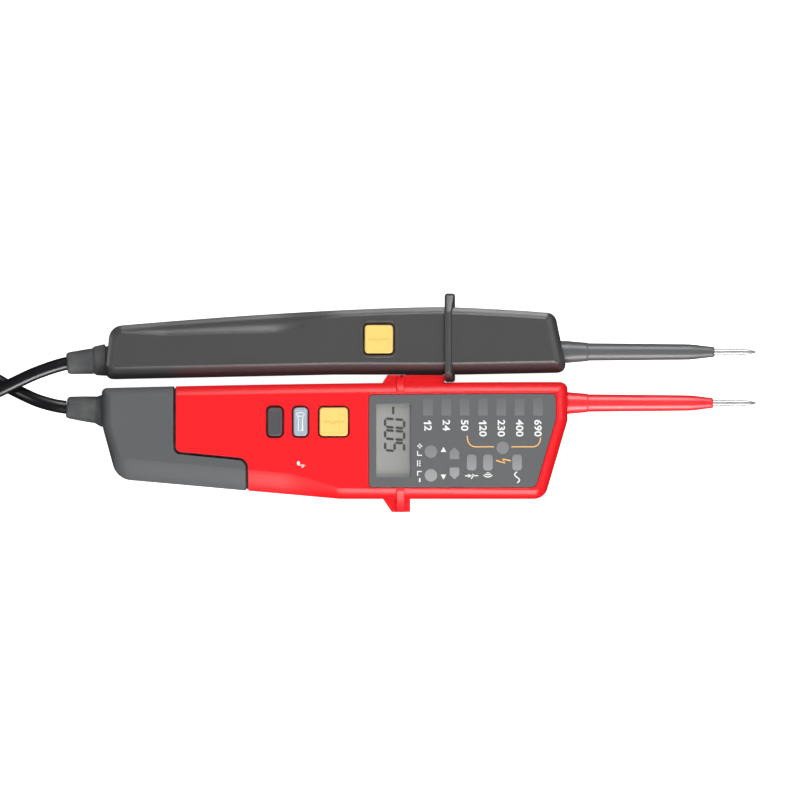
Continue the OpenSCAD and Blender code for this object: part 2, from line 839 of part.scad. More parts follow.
// Outline of the second casing, with a share b of its back edge or a share t of its top edge
function aux_ring(b, t) =
    let (
        back = b * aux_back_w,
        front = [aux_nose_side[0], aux_side_y(aux_nose_side[0])],
        rear_x1 = mix(aux_nose_top[0], aux_rear_top[0], 0.94),
        rear = [rear_x1, aux_side_y(rear_x1)],
        in_nose = back + t * aux_nose_w,
        in_side = back + t * aux_edge_w,
        in_rear = back + t * aux_grip_rear_w,
        in_low = back + t * aux_dock_w
    )
    concat(
        corner(aux_dock_front, aux_nose_low, aux_nose_top, in_low, in_nose, max(rear_r - in_nose, least_r)),
        corner(aux_nose_low, aux_nose_top, front, in_nose, in_side, max(2 * rear_r - in_nose, least_r)),
        [front - [0, in_side]],
        [for (s = aux_side_shares) let (x = mix(front[0], aux_rear_top[0], s))
            [x, aux_side_y(x) - in_side - t * aux_grip_in(x)]],
        corner(rear, aux_rear_top, aux_rear_low, in_rear, in_rear, max(2 * rear_r - in_rear, least_r)),
        corner(aux_rear_top, aux_rear_low, aux_dock_back, in_rear, in_low, max(rear_r - in_rear, least_r)),
        [aux_dock_back + [0, in_low], aux_dock_front + [0, in_low]]
    );

aux_rings = [for (l = levels(aux_z, aux_back_h, aux_edge_h, aux_top)) [l[0], aux_ring(l[1], l[2])]];
aux_mid = [aux_nose_x - aux_l / 2, aux_low_y + aux_w / 2];
aux_space_top = aux_top - wall;

module aux_space() {
    prism(aux_z + wall, aux_z + aux_back_h)
        offset(delta = -wall)
            polygon(aux_ring(1, 0));
    prism(aux_z + aux_back_h, aux_side_z)
        offset(delta = -wall)
            polygon(aux_ring(0, 0));
    prism(aux_side_z, aux_space_top)
        offset(delta = -wall)
            polygon(aux_ring(0, 1));
}

aux_probe_at = dock_y + aux_probe_y;
aux_probe_nose = mix(aux_nose_low[0], aux_nose_top[0],
    (aux_probe_at - aux_nose_low[1]) / (aux_nose_top[1] - aux_nose_low[1]));
aux_inner = wall * 2 + nose_x - aux_probe_nose;
aux_button_x = aux_crest_x - aux_button_back;
aux_button_y = aux_crest_y - aux_button_down;
aux_board_top = aux_space_top - fit - flange_t - button_travel - switch_h - switch_h / 4;
aux_board_z = aux_board_top - board_t;
aux_switch_top = aux_board_top + switch_h;
aux_stem_z = aux_switch_top + button_travel + switch_h / 8;
aux_screws_at = [
    [aux_rear_x + boss_r * 5, aux_low_y + aux_w / 3],
    [aux_nose_top[0] - wall - boss_r, aux_nose_top[1] - wall - boss_r - fit * 5]
];
aux_rear_angle = atan2(aux_rear_slant, aux_rear_top[1] - aux_rear_low[1]);
gland_at_share = 0.37;
aux_gland_at = mix(aux_rear_low, aux_rear_top, gland_at_share);

// Slot in the second unit's wall: narrow where the rail is held, wide where it lets go
module dock_slot() {
    neck = rail_neck_h + 2 * dock_gap;
    head = rail_head_h + 2 * dock_gap;
    front = rail_x + rail_l + dock_gap;
    along_x(rail_x - dock_travel - dock_gap, front)
        translate([aux_low_y - over, axis_z - neck / 2])
            square([wall + over + fit, neck]);
    along_x(rail_x - dock_travel - dock_gap, rail_x - dock_travel + rail_l + dock_gap)
        translate([aux_low_y - over, axis_z - head / 2])
            square([wall + over + fit, head]);
}

module aux_casing() {
    difference() {
        loft(aux_rings, aux_mid);
        aux_space();
    }
}

// Battery bay: the door's rim rests on the bay's wall
door_ledge = 1.6;
door_gap = 0.2;
bay_wall = 1.4;
bay_end = 10.6;
door_x = rear_x + cover_low_l + bay_end + door_gap * 2;
door_y = dock_y - main_w / 2 - wall * 1.1;
bay_top = wall + door_ledge / 4 + cell_d + fit * 3;
cell_z = wall + fit * 4 + cell_d / 2;
spring_l = 3.6;
bay_l = cell_l + spring_l + fit * 8;
door_l = door_ledge + bay_l + door_end_l;
bay_x = door_x + door_ledge;
door_post_x = door_x + door_l - door_ledge - boss_r - fit * 2;

module box(x0, x1, y, w, z0, z1) {
    translate([x0, y - w / 2, z0])
        cube([x1 - x0, w, z1 - z0]);
}

// Supports between the back shell and the main board
support_r = 1.7;
supports = [
    [rear_x + main_l * 0.19, dock_y - main_w * 0.45],
    [nose_x - main_l * 0.14, low_y + main_w * 0.3],
    [nose_x - main_l * 0.2, low_y + main_w * 0.3]
];

module front_shell() {
    color("#e8323a")
        difference() {
            union() {
                intersection() {
                    difference() {
                        main_casing();
                        prism(-over, main_h + over)
                            cover_plan(seam);
                    }
                    translate([rear_x - over, low_y - main_w, axis_z])
                        cube([main_l + 2 * over, main_w * 3, main_h]);
                }
                intersection() {
                    for (p = main_screws)
                        translate([p[0], p[1], axis_z])
                            cylinder(h = space_top - axis_z + wall / 2, r = boss_r);
                    translate([rear_x, low_y, axis_z])
                        prism(0, side_z + edge_h / 3 - axis_z)
                            square([main_l, main_w]);
                }
                lip(axis_z, side_z - fit);
            }
            prism(panel_floor, main_h + over)
                offset(delta = fit)
                    panel_plan();
            prism(side_z, main_h + over)
                offset(delta = -panel_ledge)
                    panel_plan();
            translate([test_x, button_y, 0])
                prism(side_z, main_h + over)
                    button_plan(test_s, button_gap);
            translate([torch_x, button_y, 0])
                prism(side_z, main_h + over)
                    button_plan(torch_w, button_gap);
            translate([hold_x, button_y, 0])
                prism(side_z, main_h + over)
                    button_plan(hold_w, button_gap);
            for (p = main_screws)
                translate([p[0], p[1], axis_z - over])
                    cylinder(h = screw_top - axis_z + over + fit, r = screw_r + fit);
            probe_hole(nose_x, 0);
            in_nose(-wall * 3)
                cylinder(h = wall * 3 + over, r = (torch_r + fit) / cos(180 / hole_sides), $fn = hole_sides);
        }
}

module back_shell() {
    color("#d32c34")
        difference() {
            union() {
                intersection() {
                    difference() {
                        main_casing();
                        prism(-over, main_h + over)
                            cover_plan(seam);
                    }
                    translate([rear_x - over, low_y - main_w, -main_h])
                        cube([main_l + 2 * over, main_w * 3, main_h + axis_z]);
                }
                for (p = main_screws)
                    translate([p[0], p[1], wall / 2])
                        cylinder(h = axis_z - wall / 2, r = boss_r);
                for (p = supports)
                    translate([p[0], p[1], wall / 2])
                        cylinder(h = board_z - wall / 2, r = support_r);
                box(door_x - bay_wall, door_x + door_l + bay_wall, door_y, door_w + 2 * bay_wall, wall / 2,
                    bay_top + bay_wall);
                lip(back_edge_h, axis_z);
            }
            box(door_x, door_x + door_l, door_y, door_w, -over, wall);
            box(bay_x, bay_x + bay_l, door_y, door_w - 2 * door_ledge, -over, bay_top);
            translate([door_post_x, door_y, -over])
                cylinder(h = axis_z - wall + over, r = screw_r + fit);
            for (p = main_screws)
                screw_hole(p, 0);
            probe_hole(nose_x, 0);
            in_nose(-wall * 3)
                cylinder(h = wall * 3 + over, r = (torch_r + fit) / cos(180 / hole_sides), $fn = hole_sides);
        }
}

module rear_cover() {
    color("#6b6e73")
        difference() {
            intersection() {
                difference() {
                    loft(main_rings, main_mid);
                    main_space();
                }
                prism(-over, main_h + over)
                    cover_plan(0);
            }
            gland_hole(main_gland_at, -gland_lean);
        }
}

module display_panel() {
    color("#6e7073")
        difference() {
            prism(panel_floor, panel_top)
                panel_plan();
            translate([lcd_mid[0] - lcd_l / 2, lcd_mid[1] - lcd_w / 2, panel_floor - over])
                cube([lcd_l, lcd_w, panel_t + 2 * over]);
            prism(panel_floor - over, panel_top + over)
                bars_plan(fit);
            prism(panel_floor - over, panel_top + over)
                signals_plan(fit);
        }
}

lcd_rim = 1.4;
glass_t = 1.1;
glass_z = panel_floor - fit - glass_t;

module lcd_holder() {
    color("#d8d8d2")
        translate([lcd_mid[0], lcd_mid[1], board_top])
            linear_extrude(glass_z - board_top)
                square([lcd_l + lcd_rim, lcd_w + lcd_rim], center = true);
}

module lcd_glass() {
    color("#a9aaa6")
        translate([lcd_mid[0], lcd_mid[1], glass_z])
            linear_extrude(glass_t)
                square([lcd_l + lcd_rim, lcd_w + lcd_rim], center = true);
}

module voltage_lights() {
    color("#808286")
        prism(board_top, panel_top)
            bars_plan(0);
}

module signal_lights() {
    color("#97999b")
        prism(board_top, panel_top)
            signals_plan(0);
}

board_in = wall + fit + lip_t + fit * 5;

module main_board() {
    color("#2f6b46")
        difference() {
            prism(board_z, board_top)
                intersection() {
                    offset(delta = -board_in)
                        polygon(main_ring(0, 0));
                    translate([rear_x + cover_l + lip_l, low_y])
                        square([main_l - cover_l - lip_l - collar_inner - fit * 5, main_w]);
                }
            for (p = main_screws)
                translate([p[0], p[1], board_z - over])
                    cylinder(h = board_t + 2 * over, r = boss_r + fit * 3);
        }
}

module push_switches() {
    color("#303134") {
        push_switch(test_x, button_y, board_top);
        push_switch(torch_x, button_y, board_top);
        push_switch(hold_x, button_y, board_top);
    }
}

module buzzer() {
    color("#222326")
        translate([rear_x + main_l * 0.27, dock_y - main_w * 0.42, board_z - buzzer_r * 0.6])
            difference() {
                cylinder(h = buzzer_r * 0.6, r = buzzer_r);
                translate([0, 0, -over])
                    cylinder(h = over + buzzer_r / 6, r = buzzer_r / 5);
            }
}

resistor_r = 1.4;
resistor_x = nose_x - main_l * 0.16;

module input_resistors() {
    color("#c9b48a")
        for (i = [0 : 2])
            translate([resistor_x - i * resistor_r * 3.4, low_y + main_w * 0.42, board_z - resistor_r - fit])
                rotate([-90, 0, 0])
                    cylinder(h = resistor_r * 8, r = resistor_r);
}

// Middles of the two cells along Y, and where their ends lie
cell_ys = [door_y - cell_d / 2 - fit * 3, door_y + cell_d / 2 + fit * 3];
cell_x0 = bay_x + spring_l;
cell_x1 = cell_x0 + cell_l;

module batteries() {
    color("#b8b4a4")
        for (y = cell_ys)
            bar_x(cell_x0, cell_x1, y, cell_z, cell_d / 2);
}

module battery_springs() {
    color("#c8c9cc")
        for (y = cell_ys)
            for (i = [0 : 2])
                let (x = bay_x + i * spring_l / 3)
                    bar_x(x + fit, x + spring_l / 3, y, cell_z, cell_d / (2.4 + i));
}

module battery_plates() {
    color("#c8c9cc")
        for (y = cell_ys)
            box(cell_x1 + fit, bay_x + bay_l - fit, y, cell_d * 0.7, cell_z - cell_d * 0.35,
                cell_z + cell_d * 0.35);
}

door_t = wall - fit;
door_screw_head_h = 1.1;

module battery_door() {
    color("#5b5e63")
        difference() {
            box(door_x + door_gap, door_x + door_l - door_gap, door_y, door_w - 2 * door_gap, 0, door_t);
            translate([door_post_x, door_y, -over])
                cylinder(h = door_screw_head_h + over, r = screw_head_r + fit * 2);
            translate([door_post_x, door_y, -over])
                cylinder(h = door_t + 2 * over, r = screw_r + fit);
            for (i = [0 : 5])
                let (x = door_x + door_ledge * (2 + i * 1.5))
                    box(x, x + door_ledge * 0.8, door_y, door_w / 2, -over, wall / 4);
        }
}

module door_screw() {
    color("#9b9da0")
        translate([door_post_x, door_y, fit]) {
            difference() {
                cylinder(h = door_screw_head_h - fit, r = screw_head_r);
                translate([-screw_r / 4, -screw_r * 1.4, -over])
                    cube([screw_r / 2, screw_r * 2.8, over + door_screw_head_h / 2]);
                translate([-screw_r * 1.4, -screw_r / 4, -over])
                    cube([screw_r * 2.8, screw_r / 2, over + door_screw_head_h / 2]);
            }
            cylinder(h = axis_z - 2 * wall, r = screw_r);
        }
}

module housing_screws() {
    color("#9b9da0")
        for (p = main_screws)
            screw(p, 0, screw_top);
}

module probe_sleeve() {
    color("#e8323a")
        sleeve(nose_x, 0, wall + fit);
}

module probe_tip() {
    color("#c9cacc")
        steel_tip(nose_x, 0, wall + fit);
}

module probe_clip() {
    color("#c9a24a")
        clip(nose_x, 0, wall + fit, axis_z - tip_r * 2, board_z);
}

module torch_lens() {
    color("#e6eef2")
        in_nose(-wall * 1.5) {
            cylinder(h = wall * 1.5, r = torch_r);
            translate([0, 0, -fit * 5])
                cylinder(h = fit * 5 + wall / 2 - fit * 2, r = torch_r + fit * 6);
        }
}

module torch_lamp() {
    color("#f4f2e4")
        in_nose(-wall * 1.5 - fit * 6 - torch_r * 2)
            cylinder(h = torch_r * 2, r = torch_r * 0.9);
}

module cord_gland() {
    color("#63666b")
        gland(main_gland_at, -gland_lean, 0);
}

module test_button() {
    color("#ffdd7a")
        button(test_x, button_y, test_s, main_h + button_proud, flange_top, stem_z);
}

module torch_button() {
    color("#b4c3d2")
        button(torch_x, button_y, torch_w, main_h + button_proud, flange_top, stem_z);
}

module hold_button() {
    color("#55565a")
        button(hold_x, button_y, hold_w, main_h + button_proud, flange_top, stem_z);
}

module test_plunger() {
    color("#1f2022")
        plunger(test_x, button_y, switch_top, stem_z);
}

module torch_plunger() {
    color("#1f2022")
        plunger(torch_x, button_y, switch_top, stem_z);
}

module hold_plunger() {
    color("#1f2022")
        plunger(hold_x, button_y, switch_top, stem_z);
}

module aux_half(z0) {
    intersection() {
        aux_casing();
        translate([aux_rear_x - over, aux_low_y - aux_w, z0])
            cube([aux_l + 2 * over, aux_w * 3, main_h]);
    }
}

module aux_cuts() {
    dock_slot();
    bar_x(aux_probe_nose - wall * 3, nose_x + over, aux_probe_at, axis_z, collar_r + fit / 2);
    gland_hole(aux_gland_at, gland_lean);
}

module aux_front_shell() {
    color("#55575b")
        difference() {
            union() {
                aux_half(axis_z);
                for (p = aux_screws_at)
                    translate([p[0], p[1], axis_z])
                        cylinder(h = aux_space_top + wall / 2 - axis_z, r = boss_r);
            }
            aux_cuts();
            translate([aux_button_x, aux_button_y, 0])
                prism(aux_side_z, aux_top + over)
                    button_plan(test_s, button_gap);
            for (p = aux_screws_at)
                translate([p[0], p[1], axis_z - over])
                    cylinder(h = aux_side_z - axis_z + over, r = screw_r + fit);
        }
}

module aux_back_shell() {
    color("#4c4e52")
        difference() {
            union() {
                aux_half(axis_z - main_h);
                for (p = aux_screws_at)
                    translate([p[0], p[1], aux_z + wall / 2])
                        cylinder(h = axis_z - aux_z - wall / 2, r = boss_r);
                for (x = aux_supports)
                    translate([x, aux_board_y, aux_z + wall / 2])
                        cylinder(h = aux_board_z - aux_z - wall / 2, r = support_r);
            }
            aux_cuts();
            for (p = aux_screws_at)
                screw_hole(p, aux_z);
        }
}

aux_board_y = aux_low_y + aux_w * 0.48;
aux_board_w = aux_w * 0.42;
aux_board_x0 = aux_button_x - aux_w * 1.1;
aux_board_x1 = nose_x - aux_inner - flange_thick - fit * 5;
aux_supports = [
    aux_board_x0 + support_r * 4,
    (aux_board_x0 + aux_board_x1) / 2,
    aux_board_x1 - inner_l - support_r * 2
];

module aux_board() {
    color("#2f6b46")
        difference() {
            box(aux_board_x0, aux_board_x1, aux_board_y, aux_board_w, aux_board_z, aux_board_top);
            for (p = aux_screws_at)
                translate([p[0], p[1], aux_board_z - over])
                    cylinder(h = board_t + 2 * over, r = boss_r + fit * 3);
        }
}

module aux_switch() {
    color("#303134")
        push_switch(aux_button_x, aux_button_y, aux_board_top);
}

module aux_button() {
    color("#ffdd7a")
        button(aux_button_x, aux_button_y, test_s, aux_top + button_proud, aux_space_top - fit, aux_stem_z);
}

module aux_plunger() {
    color("#1f2022")
        plunger(aux_button_x, aux_button_y, aux_switch_top, aux_stem_z);
}

module aux_probe_sleeve() {
    color("#4c4e52")
        sleeve(nose_x, aux_probe_at, aux_inner);
}

module aux_probe_tip() {
    color("#c9cacc")
        steel_tip(nose_x, aux_probe_at, aux_inner);
}

module aux_probe_clip() {
    color("#c9a24a")
        clip(nose_x, aux_probe_at, aux_inner, axis_z - tip_r * 2, aux_board_z);
}

module aux_cord_gland() {
    color("#63666b")
        gland(aux_gland_at, gland_lean, -aux_rear_angle);
}

module aux_screws() {
    color("#9b9da0")
        for (p = aux_screws_at)
            screw(p, aux_z, aux_side_z - wall / 2);
}

// Finger guard: a ring round the second casing, thicker at mid height, with a wing on the outer side
guard_x = rail_x + rail_l + dock_gap * 2;
guard_low_y = dock_y + dock_gap;
guard_z = axis_z + fit * 6 - guard_h / 2;

module guard_profile() {
    top = aux_crest_y + guard_out;
    cut = guard_out * 1.4;
    offset(r = least_r)
        offset(delta = -least_r)
            polygon([
                [guard_low_y, guard_z + cut],
                [guard_low_y + cut / 2, guard_z],
                [top - cut, guard_z],
                [top, guard_z + cut],
                [top, guard_z + guard_h - cut],
                [top - cut, guard_z + guard_h],
                [guard_low_y + cut / 2, guard_z + guard_h],
                [guard_low_y, guard_z + guard_h - cut]
            ]);
}

module finger_guard() {
    color("#4c4e52")
        difference() {
            intersection() {
                along_x(guard_x, guard_x + guard_t)
                    guard_profile();
                translate([0, aux_crest_y + guard_out + over, 0])
                    rotate([90, 0, 0])
                        linear_extrude(aux_w + aux_gap + guard_out + 2 * over)
                            polygon([
                                [guard_x, guard_z],
                                [guard_x + guard_ridge_t, guard_z],
                                [guard_x + guard_t, guard_z + guard_h / 4],
                                [guard_x + guard_t, guard_z + guard_h * 3 / 4],
                                [guard_x + guard_ridge_t, guard_z + guard_h],
                                [guard_x, guard_z + guard_h]
                            ]);
            }
            loft(aux_rings, aux_mid);
        }
}

// The lead: a tube swept along points, square to its path
function towards(path, k) = unit(path[min(k + 1, len(path) - 1)] - path[max(k - 1, 0)]);
function ring_at(p, t, r, sides) =
    let (side = unit(cross(t, [0, 0, 1])), up = cross(side, t))
    [for (j = [0 : sides - 1]) let (a = 360 * (j + 0.5) / sides) p + r * (cos(a) * side + sin(a) * up)];

module tube(path, r, sides) {
    n = len(path);
    points = [for (k = [0 : n - 1]) each ring_at(path[k], towards(path, k), r, sides)];
    walls = [for (k = [0 : n - 2]) for (j = [0 : sides - 1]) let (i = (j + 1) % sides)
        each [
            [k * sides + j, k * sides + i, (k + 1) * sides + i],
            [k * sides + j, (k + 1) * sides + i, (k + 1) * sides + j]
        ]];
    start = [for (j = [1 : sides - 2]) [0, j + 1, j]];
    end = [for (j = [1 : sides - 2]) (n - 1) * sides * [1, 1, 1] + [0, j, j + 1]];
    polyhedron(points, concat(walls, start, end));
}

// The stored part of the lead: a round coil, wound inwards below and outwards above
tie_t = 0.8;
coil_mid = [-225, 7];
coil_start = 57;
coil_loops = 4;
rings_per_loop = 24;
climb_turns = 0.5;
coil_z = tie_t + fit + cord_d / 2;
coil_turn = 360 * coil_loops + 360 - 2 * coil_start;
coil_half = coil_turn / 720;
coil_steps = round(coil_turn / 360 * rings_per_loop);
coil_inner_r = coil_r - coil_pitch * (coil_half - climb_turns / 2);
function coil_radius(s) = coil_inner_r + coil_pitch * max(0, abs(s - coil_half) - climb_turns / 2);
function coil_height(s) = coil_z + coil_pitch * smooth((s - coil_half) / climb_turns + 0.5);
function coil_point(s) =
    let (a = coil_start + 360 * s, r = coil_radius(s))
    [coil_mid[0] + r * cos(a), coil_mid[1] + r * sin(a), coil_height(s)];
coil_in = [-sin(coil_start), cos(coil_start), 0];
coil_out = [sin(coil_start), cos(coil_start), 0];
coil_from = coil_point(0) - cord_d * coil_in;
coil_to = coil_point(2 * coil_half) + cord_d * coil_out;
coil_points = [for (i = [0 : coil_steps]) coil_point(2 * coil_half * i / coil_steps)];
coil_path = concat([coil_from], coil_points, [coil_to]);
coil_gap = min([for (i = [0 : coil_steps]) for (j = [i + rings_per_loop / 2 : 1 : coil_steps])
    norm(coil_points[i] - coil_points[j])]) - cord_d;
echo(coil_gap = coil_gap);

// The two free stretches, from each gland to the coil; the points between are chosen by hand
function gland_end(at, lean, y) = [at[0] - gland_l * cos(lean), at[1] + y * gland_l * sin(lean), axis_z];
function gland_next(at, lean, y) = gland_end(at, lean, y) + cord_d * [-cos(lean), y * sin(lean), 0];
cord_main_mids = [[-147.5, -0.3, 14.2], [-152, 1.7, 12.1], [-157, 4.4, 9.4], [-161.5, 7.1, 7.4],
    [-167, 10.8, 5.6], [-174, 15.7, 4.3], [-183, 22.4, 3.6], [-192, 29.7, 3.5]];
cord_aux_mids = [[-147.5, 13.1, 15], [-152, 11, 14.8], [-157, 8.7, 14.4], [-163, 5.7, 13.7],
    [-170, 1.7, 12.7], [-178, -3.8, 11.5], [-185, -9.4, 10.5], [-192, -15.7, 9.9]];
cord_main_path = concat(
    [gland_end(main_gland_at, gland_lean, 1), gland_next(main_gland_at, gland_lean, 1)],
    cord_main_mids,
    [coil_from]
);
cord_aux_path = concat(
    [gland_end(aux_gland_at, gland_lean, -1), gland_next(aux_gland_at, gland_lean, -1)],
    cord_aux_mids,
    [coil_to]
);

module cord_main_run() {
    color("#1d1d1f")
        tube(cord_main_path, cord_d / 2, 8);
}

module cord_aux_run() {
    color("#1d1d1f")
        tube(cord_aux_path, cord_d / 2, 8);
}

module cord_coil() {
    color("#1d1d1f")
        tube(coil_path, cord_d / 2, 6);
}

tie_w = 8;

module cord_tie() {
    tie_r0 = coil_inner_r - cord_d / 2 - fit * 4;
    tie_r1 = coil_r + cord_d / 2 - fit * 4;
    tie_top = coil_z + coil_pitch + cord_d / 2 + fit * 2;
    color("#2b2b2e")
        translate([coil_mid[0], coil_mid[1] + tie_w / 2, 0])
            rotate([90, 0, 0])
                linear_extrude(tie_w)
                    difference() {
                        translate([-tie_r1 - tie_t, 0])
                            square([tie_r1 - tie_r0 + 2 * tie_t, tie_top + tie_t]);
                        translate([-tie_r1, tie_t])
                            square([tie_r1 - tie_r0, tie_top - tie_t]);
                    }
}

front_shell();
back_shell();
rear_cover();
display_panel();
lcd_holder();
lcd_glass();
voltage_lights();
signal_lights();
main_board();
push_switches();
buzzer();
input_resistors();
batteries();
battery_springs();
battery_plates();
battery_door();
door_screw();
housing_screws();
probe_sleeve();
probe_tip();
probe_clip();
torch_lens();
torch_lamp();
cord_gland();
test_button();
test_plunger();
torch_button();
torch_plunger();
hold_button();
hold_plunger();
aux_front_shell();
aux_back_shell();
finger_guard();
aux_board();
aux_switch();
aux_button();
aux_plunger();
aux_probe_sleeve();
aux_probe_tip();
aux_probe_clip();
aux_cord_gland();
aux_screws();
cord_main_run();
cord_aux_run();
cord_coil();
cord_tie();
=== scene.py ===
# %% [markdown]
# # A two-pole voltage tester
# An electrician holds one unit in each hand and touches both steel tips to a circuit. The red main unit
# shows the voltage, and the slim dark unit only carries the second tip. Between jobs the dark one is docked
# on the red one's side, as it lies here.
#
# This file gives them the looks: finer casings, printed marks, real finishes. Every length below is in
# millimetres, and `MM` turns it into Blender's metres at the last moment, where a mesh is made.

# %% Load the frame
from contextlib import contextmanager
from math import atan2, cos, pi, radians, sin, tan

import bmesh
import bpy
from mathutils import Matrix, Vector


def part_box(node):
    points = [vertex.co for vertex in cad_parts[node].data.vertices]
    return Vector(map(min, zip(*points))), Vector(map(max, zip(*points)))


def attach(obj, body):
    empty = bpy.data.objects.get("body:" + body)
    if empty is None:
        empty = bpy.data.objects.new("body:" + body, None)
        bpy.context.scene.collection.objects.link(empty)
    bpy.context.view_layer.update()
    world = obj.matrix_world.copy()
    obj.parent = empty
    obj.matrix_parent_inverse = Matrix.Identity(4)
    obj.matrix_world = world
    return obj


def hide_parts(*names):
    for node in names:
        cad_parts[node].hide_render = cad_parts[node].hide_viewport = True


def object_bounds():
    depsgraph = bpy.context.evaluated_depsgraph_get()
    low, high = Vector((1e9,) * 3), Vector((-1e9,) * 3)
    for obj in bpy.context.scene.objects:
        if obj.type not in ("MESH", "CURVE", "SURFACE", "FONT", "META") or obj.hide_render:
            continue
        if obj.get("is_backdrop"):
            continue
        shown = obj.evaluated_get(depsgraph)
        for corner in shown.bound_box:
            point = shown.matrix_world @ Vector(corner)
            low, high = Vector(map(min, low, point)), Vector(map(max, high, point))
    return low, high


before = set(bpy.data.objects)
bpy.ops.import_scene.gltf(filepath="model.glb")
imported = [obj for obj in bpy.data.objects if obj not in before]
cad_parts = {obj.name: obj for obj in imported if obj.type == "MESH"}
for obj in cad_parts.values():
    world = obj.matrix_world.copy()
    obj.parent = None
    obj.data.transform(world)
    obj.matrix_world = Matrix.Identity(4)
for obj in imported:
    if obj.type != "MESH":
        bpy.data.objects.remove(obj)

MM = 0.001
scene = bpy.context.scene
cad_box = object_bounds()
print("the CAD model measures", [round((b - a) / MM, 1) for a, b in zip(*cad_box)], "mm")

# %% [markdown]
# ## The camera
# The photograph looks straight down on the tester, with almost no perspective: the tips and the casings
# show no side walls. A long lens from far above gives that. Its focal length follows from the distance and
# from how many millimetres the picture spans, so nothing is found by trial.

# %% The camera above the table
picture_mid, picture_span = (-4.54, 1.19), 316.0
camera_height, seen_height = 5000.0, 22.5

camera = bpy.data.objects.new("camera", bpy.data.cameras.new("camera"))
scene.collection.objects.link(camera)
camera.location = (picture_mid[0] * MM, picture_mid[1] * MM, camera_height * MM)
camera.data.sensor_width = 36.0
camera.data.lens = camera.data.sensor_width * (camera_height - seen_height) / picture_span
camera.data.clip_start, camera.data.clip_end = 0.1, 50.0
scene.camera = camera
print("lens:", round(camera.data.lens), "mm")

# %% [markdown]
# ## The lead's route
# One round black lead joins the two units. It leaves the main unit's gland, runs down to the table, goes
# into a stored coil and comes back to the second unit's gland. The route is the one of the CAD solids, as
# points. A smooth line through them needs no solver: a Catmull-Rom curve passes through every point and its
# direction never jumps.

# %% Where the lead leaves each gland
lead_d, axis_z = 5.2, 15.0
gland_l, second_gland_l, gland_lean = 14.2, 16.0, radians(5)
main_gland_at, second_gland_at = Vector((-122.3, -2.92, axis_z)), Vector((-120.39, 17.07, axis_z))
main_gland_way = Vector((-cos(gland_lean), sin(gland_lean), 0))
second_gland_way = Vector((-cos(gland_lean), -sin(gland_lean), 0))
main_exit = main_gland_at + gland_l * main_gland_way
second_exit = second_gland_at + second_gland_l * second_gland_way
print("exits:", tuple(round(c, 1) for c in main_exit), tuple(round(c, 1) for c in second_exit))

# %% The coil that stores what the picture doesn't show
strap_t = 0.8  # the tie's strap runs under the coil
coil_mid, coil_r, coil_pitch = Vector((-225, 7)), 36.6, 6.4
coil_start, coil_loops, climb = 57.0, 4, 0.5
coil_turns = coil_loops + 1 - 2 * coil_start / 360
coil_half = coil_turns / 2
coil_low = strap_t + 0.1 + lead_d / 2
coil_inner_r = coil_r - coil_pitch * (coil_half - climb / 2)


def eased(t):
    """0 to 1 with a soft start and a soft end."""
    t = min(1.0, max(0.0, t))
    return t * t * (3 - 2 * t)


def coil_point(turn):
    """The lead's middle after so many turns of the coil: inwards below, outwards above."""
    a = radians(coil_start + 360 * turn)
    r = coil_inner_r + coil_pitch * max(0.0, abs(turn - coil_half) - climb / 2)
    z = coil_low + coil_pitch * eased((turn - coil_half) / climb + 0.5)
    return Vector((coil_mid.x + r * cos(a), coil_mid.y + r * sin(a), z))


coil_steps = round(coil_turns * 24)
coil = [coil_point(coil_turns * i / coil_steps) for i in range(coil_steps + 1)]
print("the coil has", round(coil_turns, 2), "turns, outer radius", coil_r + lead_d / 2, "mm")

# %% The whole route, from gland to gland
main_run = [(-141.5, -0.9, 14.9), (-147.5, 0.8, 13.8), (-152, 2.7, 12.0), (-157, 5.1, 9.5),
            (-161.5, 7.5, 7.4), (-167, 10.9, 5.6), (-174, 15.7, 4.3), (-183, 22.4, 3.6), (-192, 29.7, 3.5)]
second_run = [(-141.5, 14.3, 15), (-147.5, 12.2, 15), (-152, 10.3, 14.8), (-157, 7.9, 14.4),
              (-163, 5.0, 13.7), (-170, 1.3, 12.7), (-178, -3.8, 11.5), (-185, -9.4, 10.5),
              (-192, -15.7, 9.9)]
spare = 15.5  # runs on inside the gland, so that it still ends there when the unit has slid forward
s = radians(coil_start)
into_coil = coil[0] - lead_d * Vector((-sin(s), cos(s), 0))
out_of_coil = coil[-1] + lead_d * Vector((sin(s), cos(s), 0))
route = ([main_exit, main_exit + main_gland_way] + [Vector(p) for p in main_run] + [into_coil] + coil
         + [out_of_coil] + [Vector(p) for p in reversed(second_run)]
         + [second_exit + Vector((spare * i / 5, 0, 0)) for i in range(6)])


def smooth_line(points, parts):
    """A Catmull-Rom curve through the points, with so many parts between each two."""
    line = []
    for i in range(len(points) - 1):
        a, b, c, d = (points[max(0, min(len(points) - 1, i + k))] for k in (-1, 0, 1, 2))
        for t in (k / parts for k in range(parts)):
            line.append(0.5 * (2 * b + (c - a) * t + (2 * a - 5 * b + 4 * c - d) * t * t
                               + (3 * b - a - 3 * c + d) * t * t * t))
    return line + [points[-1]]


lead_line = smooth_line(route, 3)
lead_length = sum((b - a).length for a, b in zip(lead_line, lead_line[1:]))
print("the lead is", round(lead_length), "mm long")

# %% [markdown]
# ## From points to pieces
# A mesh is points and faces. Most pieces here are skins: outlines of equal point count at rising heights,
# joined by quads and closed at both ends. Blender's modifiers could make some of them from a cube, but an
# outline in code keeps every size exact and can be read back.
#
# Flat faces next to round ones shade badly when everything is smooth. So edges above an angle are marked
# sharp, and the Weighted Normal modifier lets the large faces decide how the rest is lit. Openings and
# hollows are cut with Booleans, as a cutter cuts the real tool: each cut is a skin of its own.

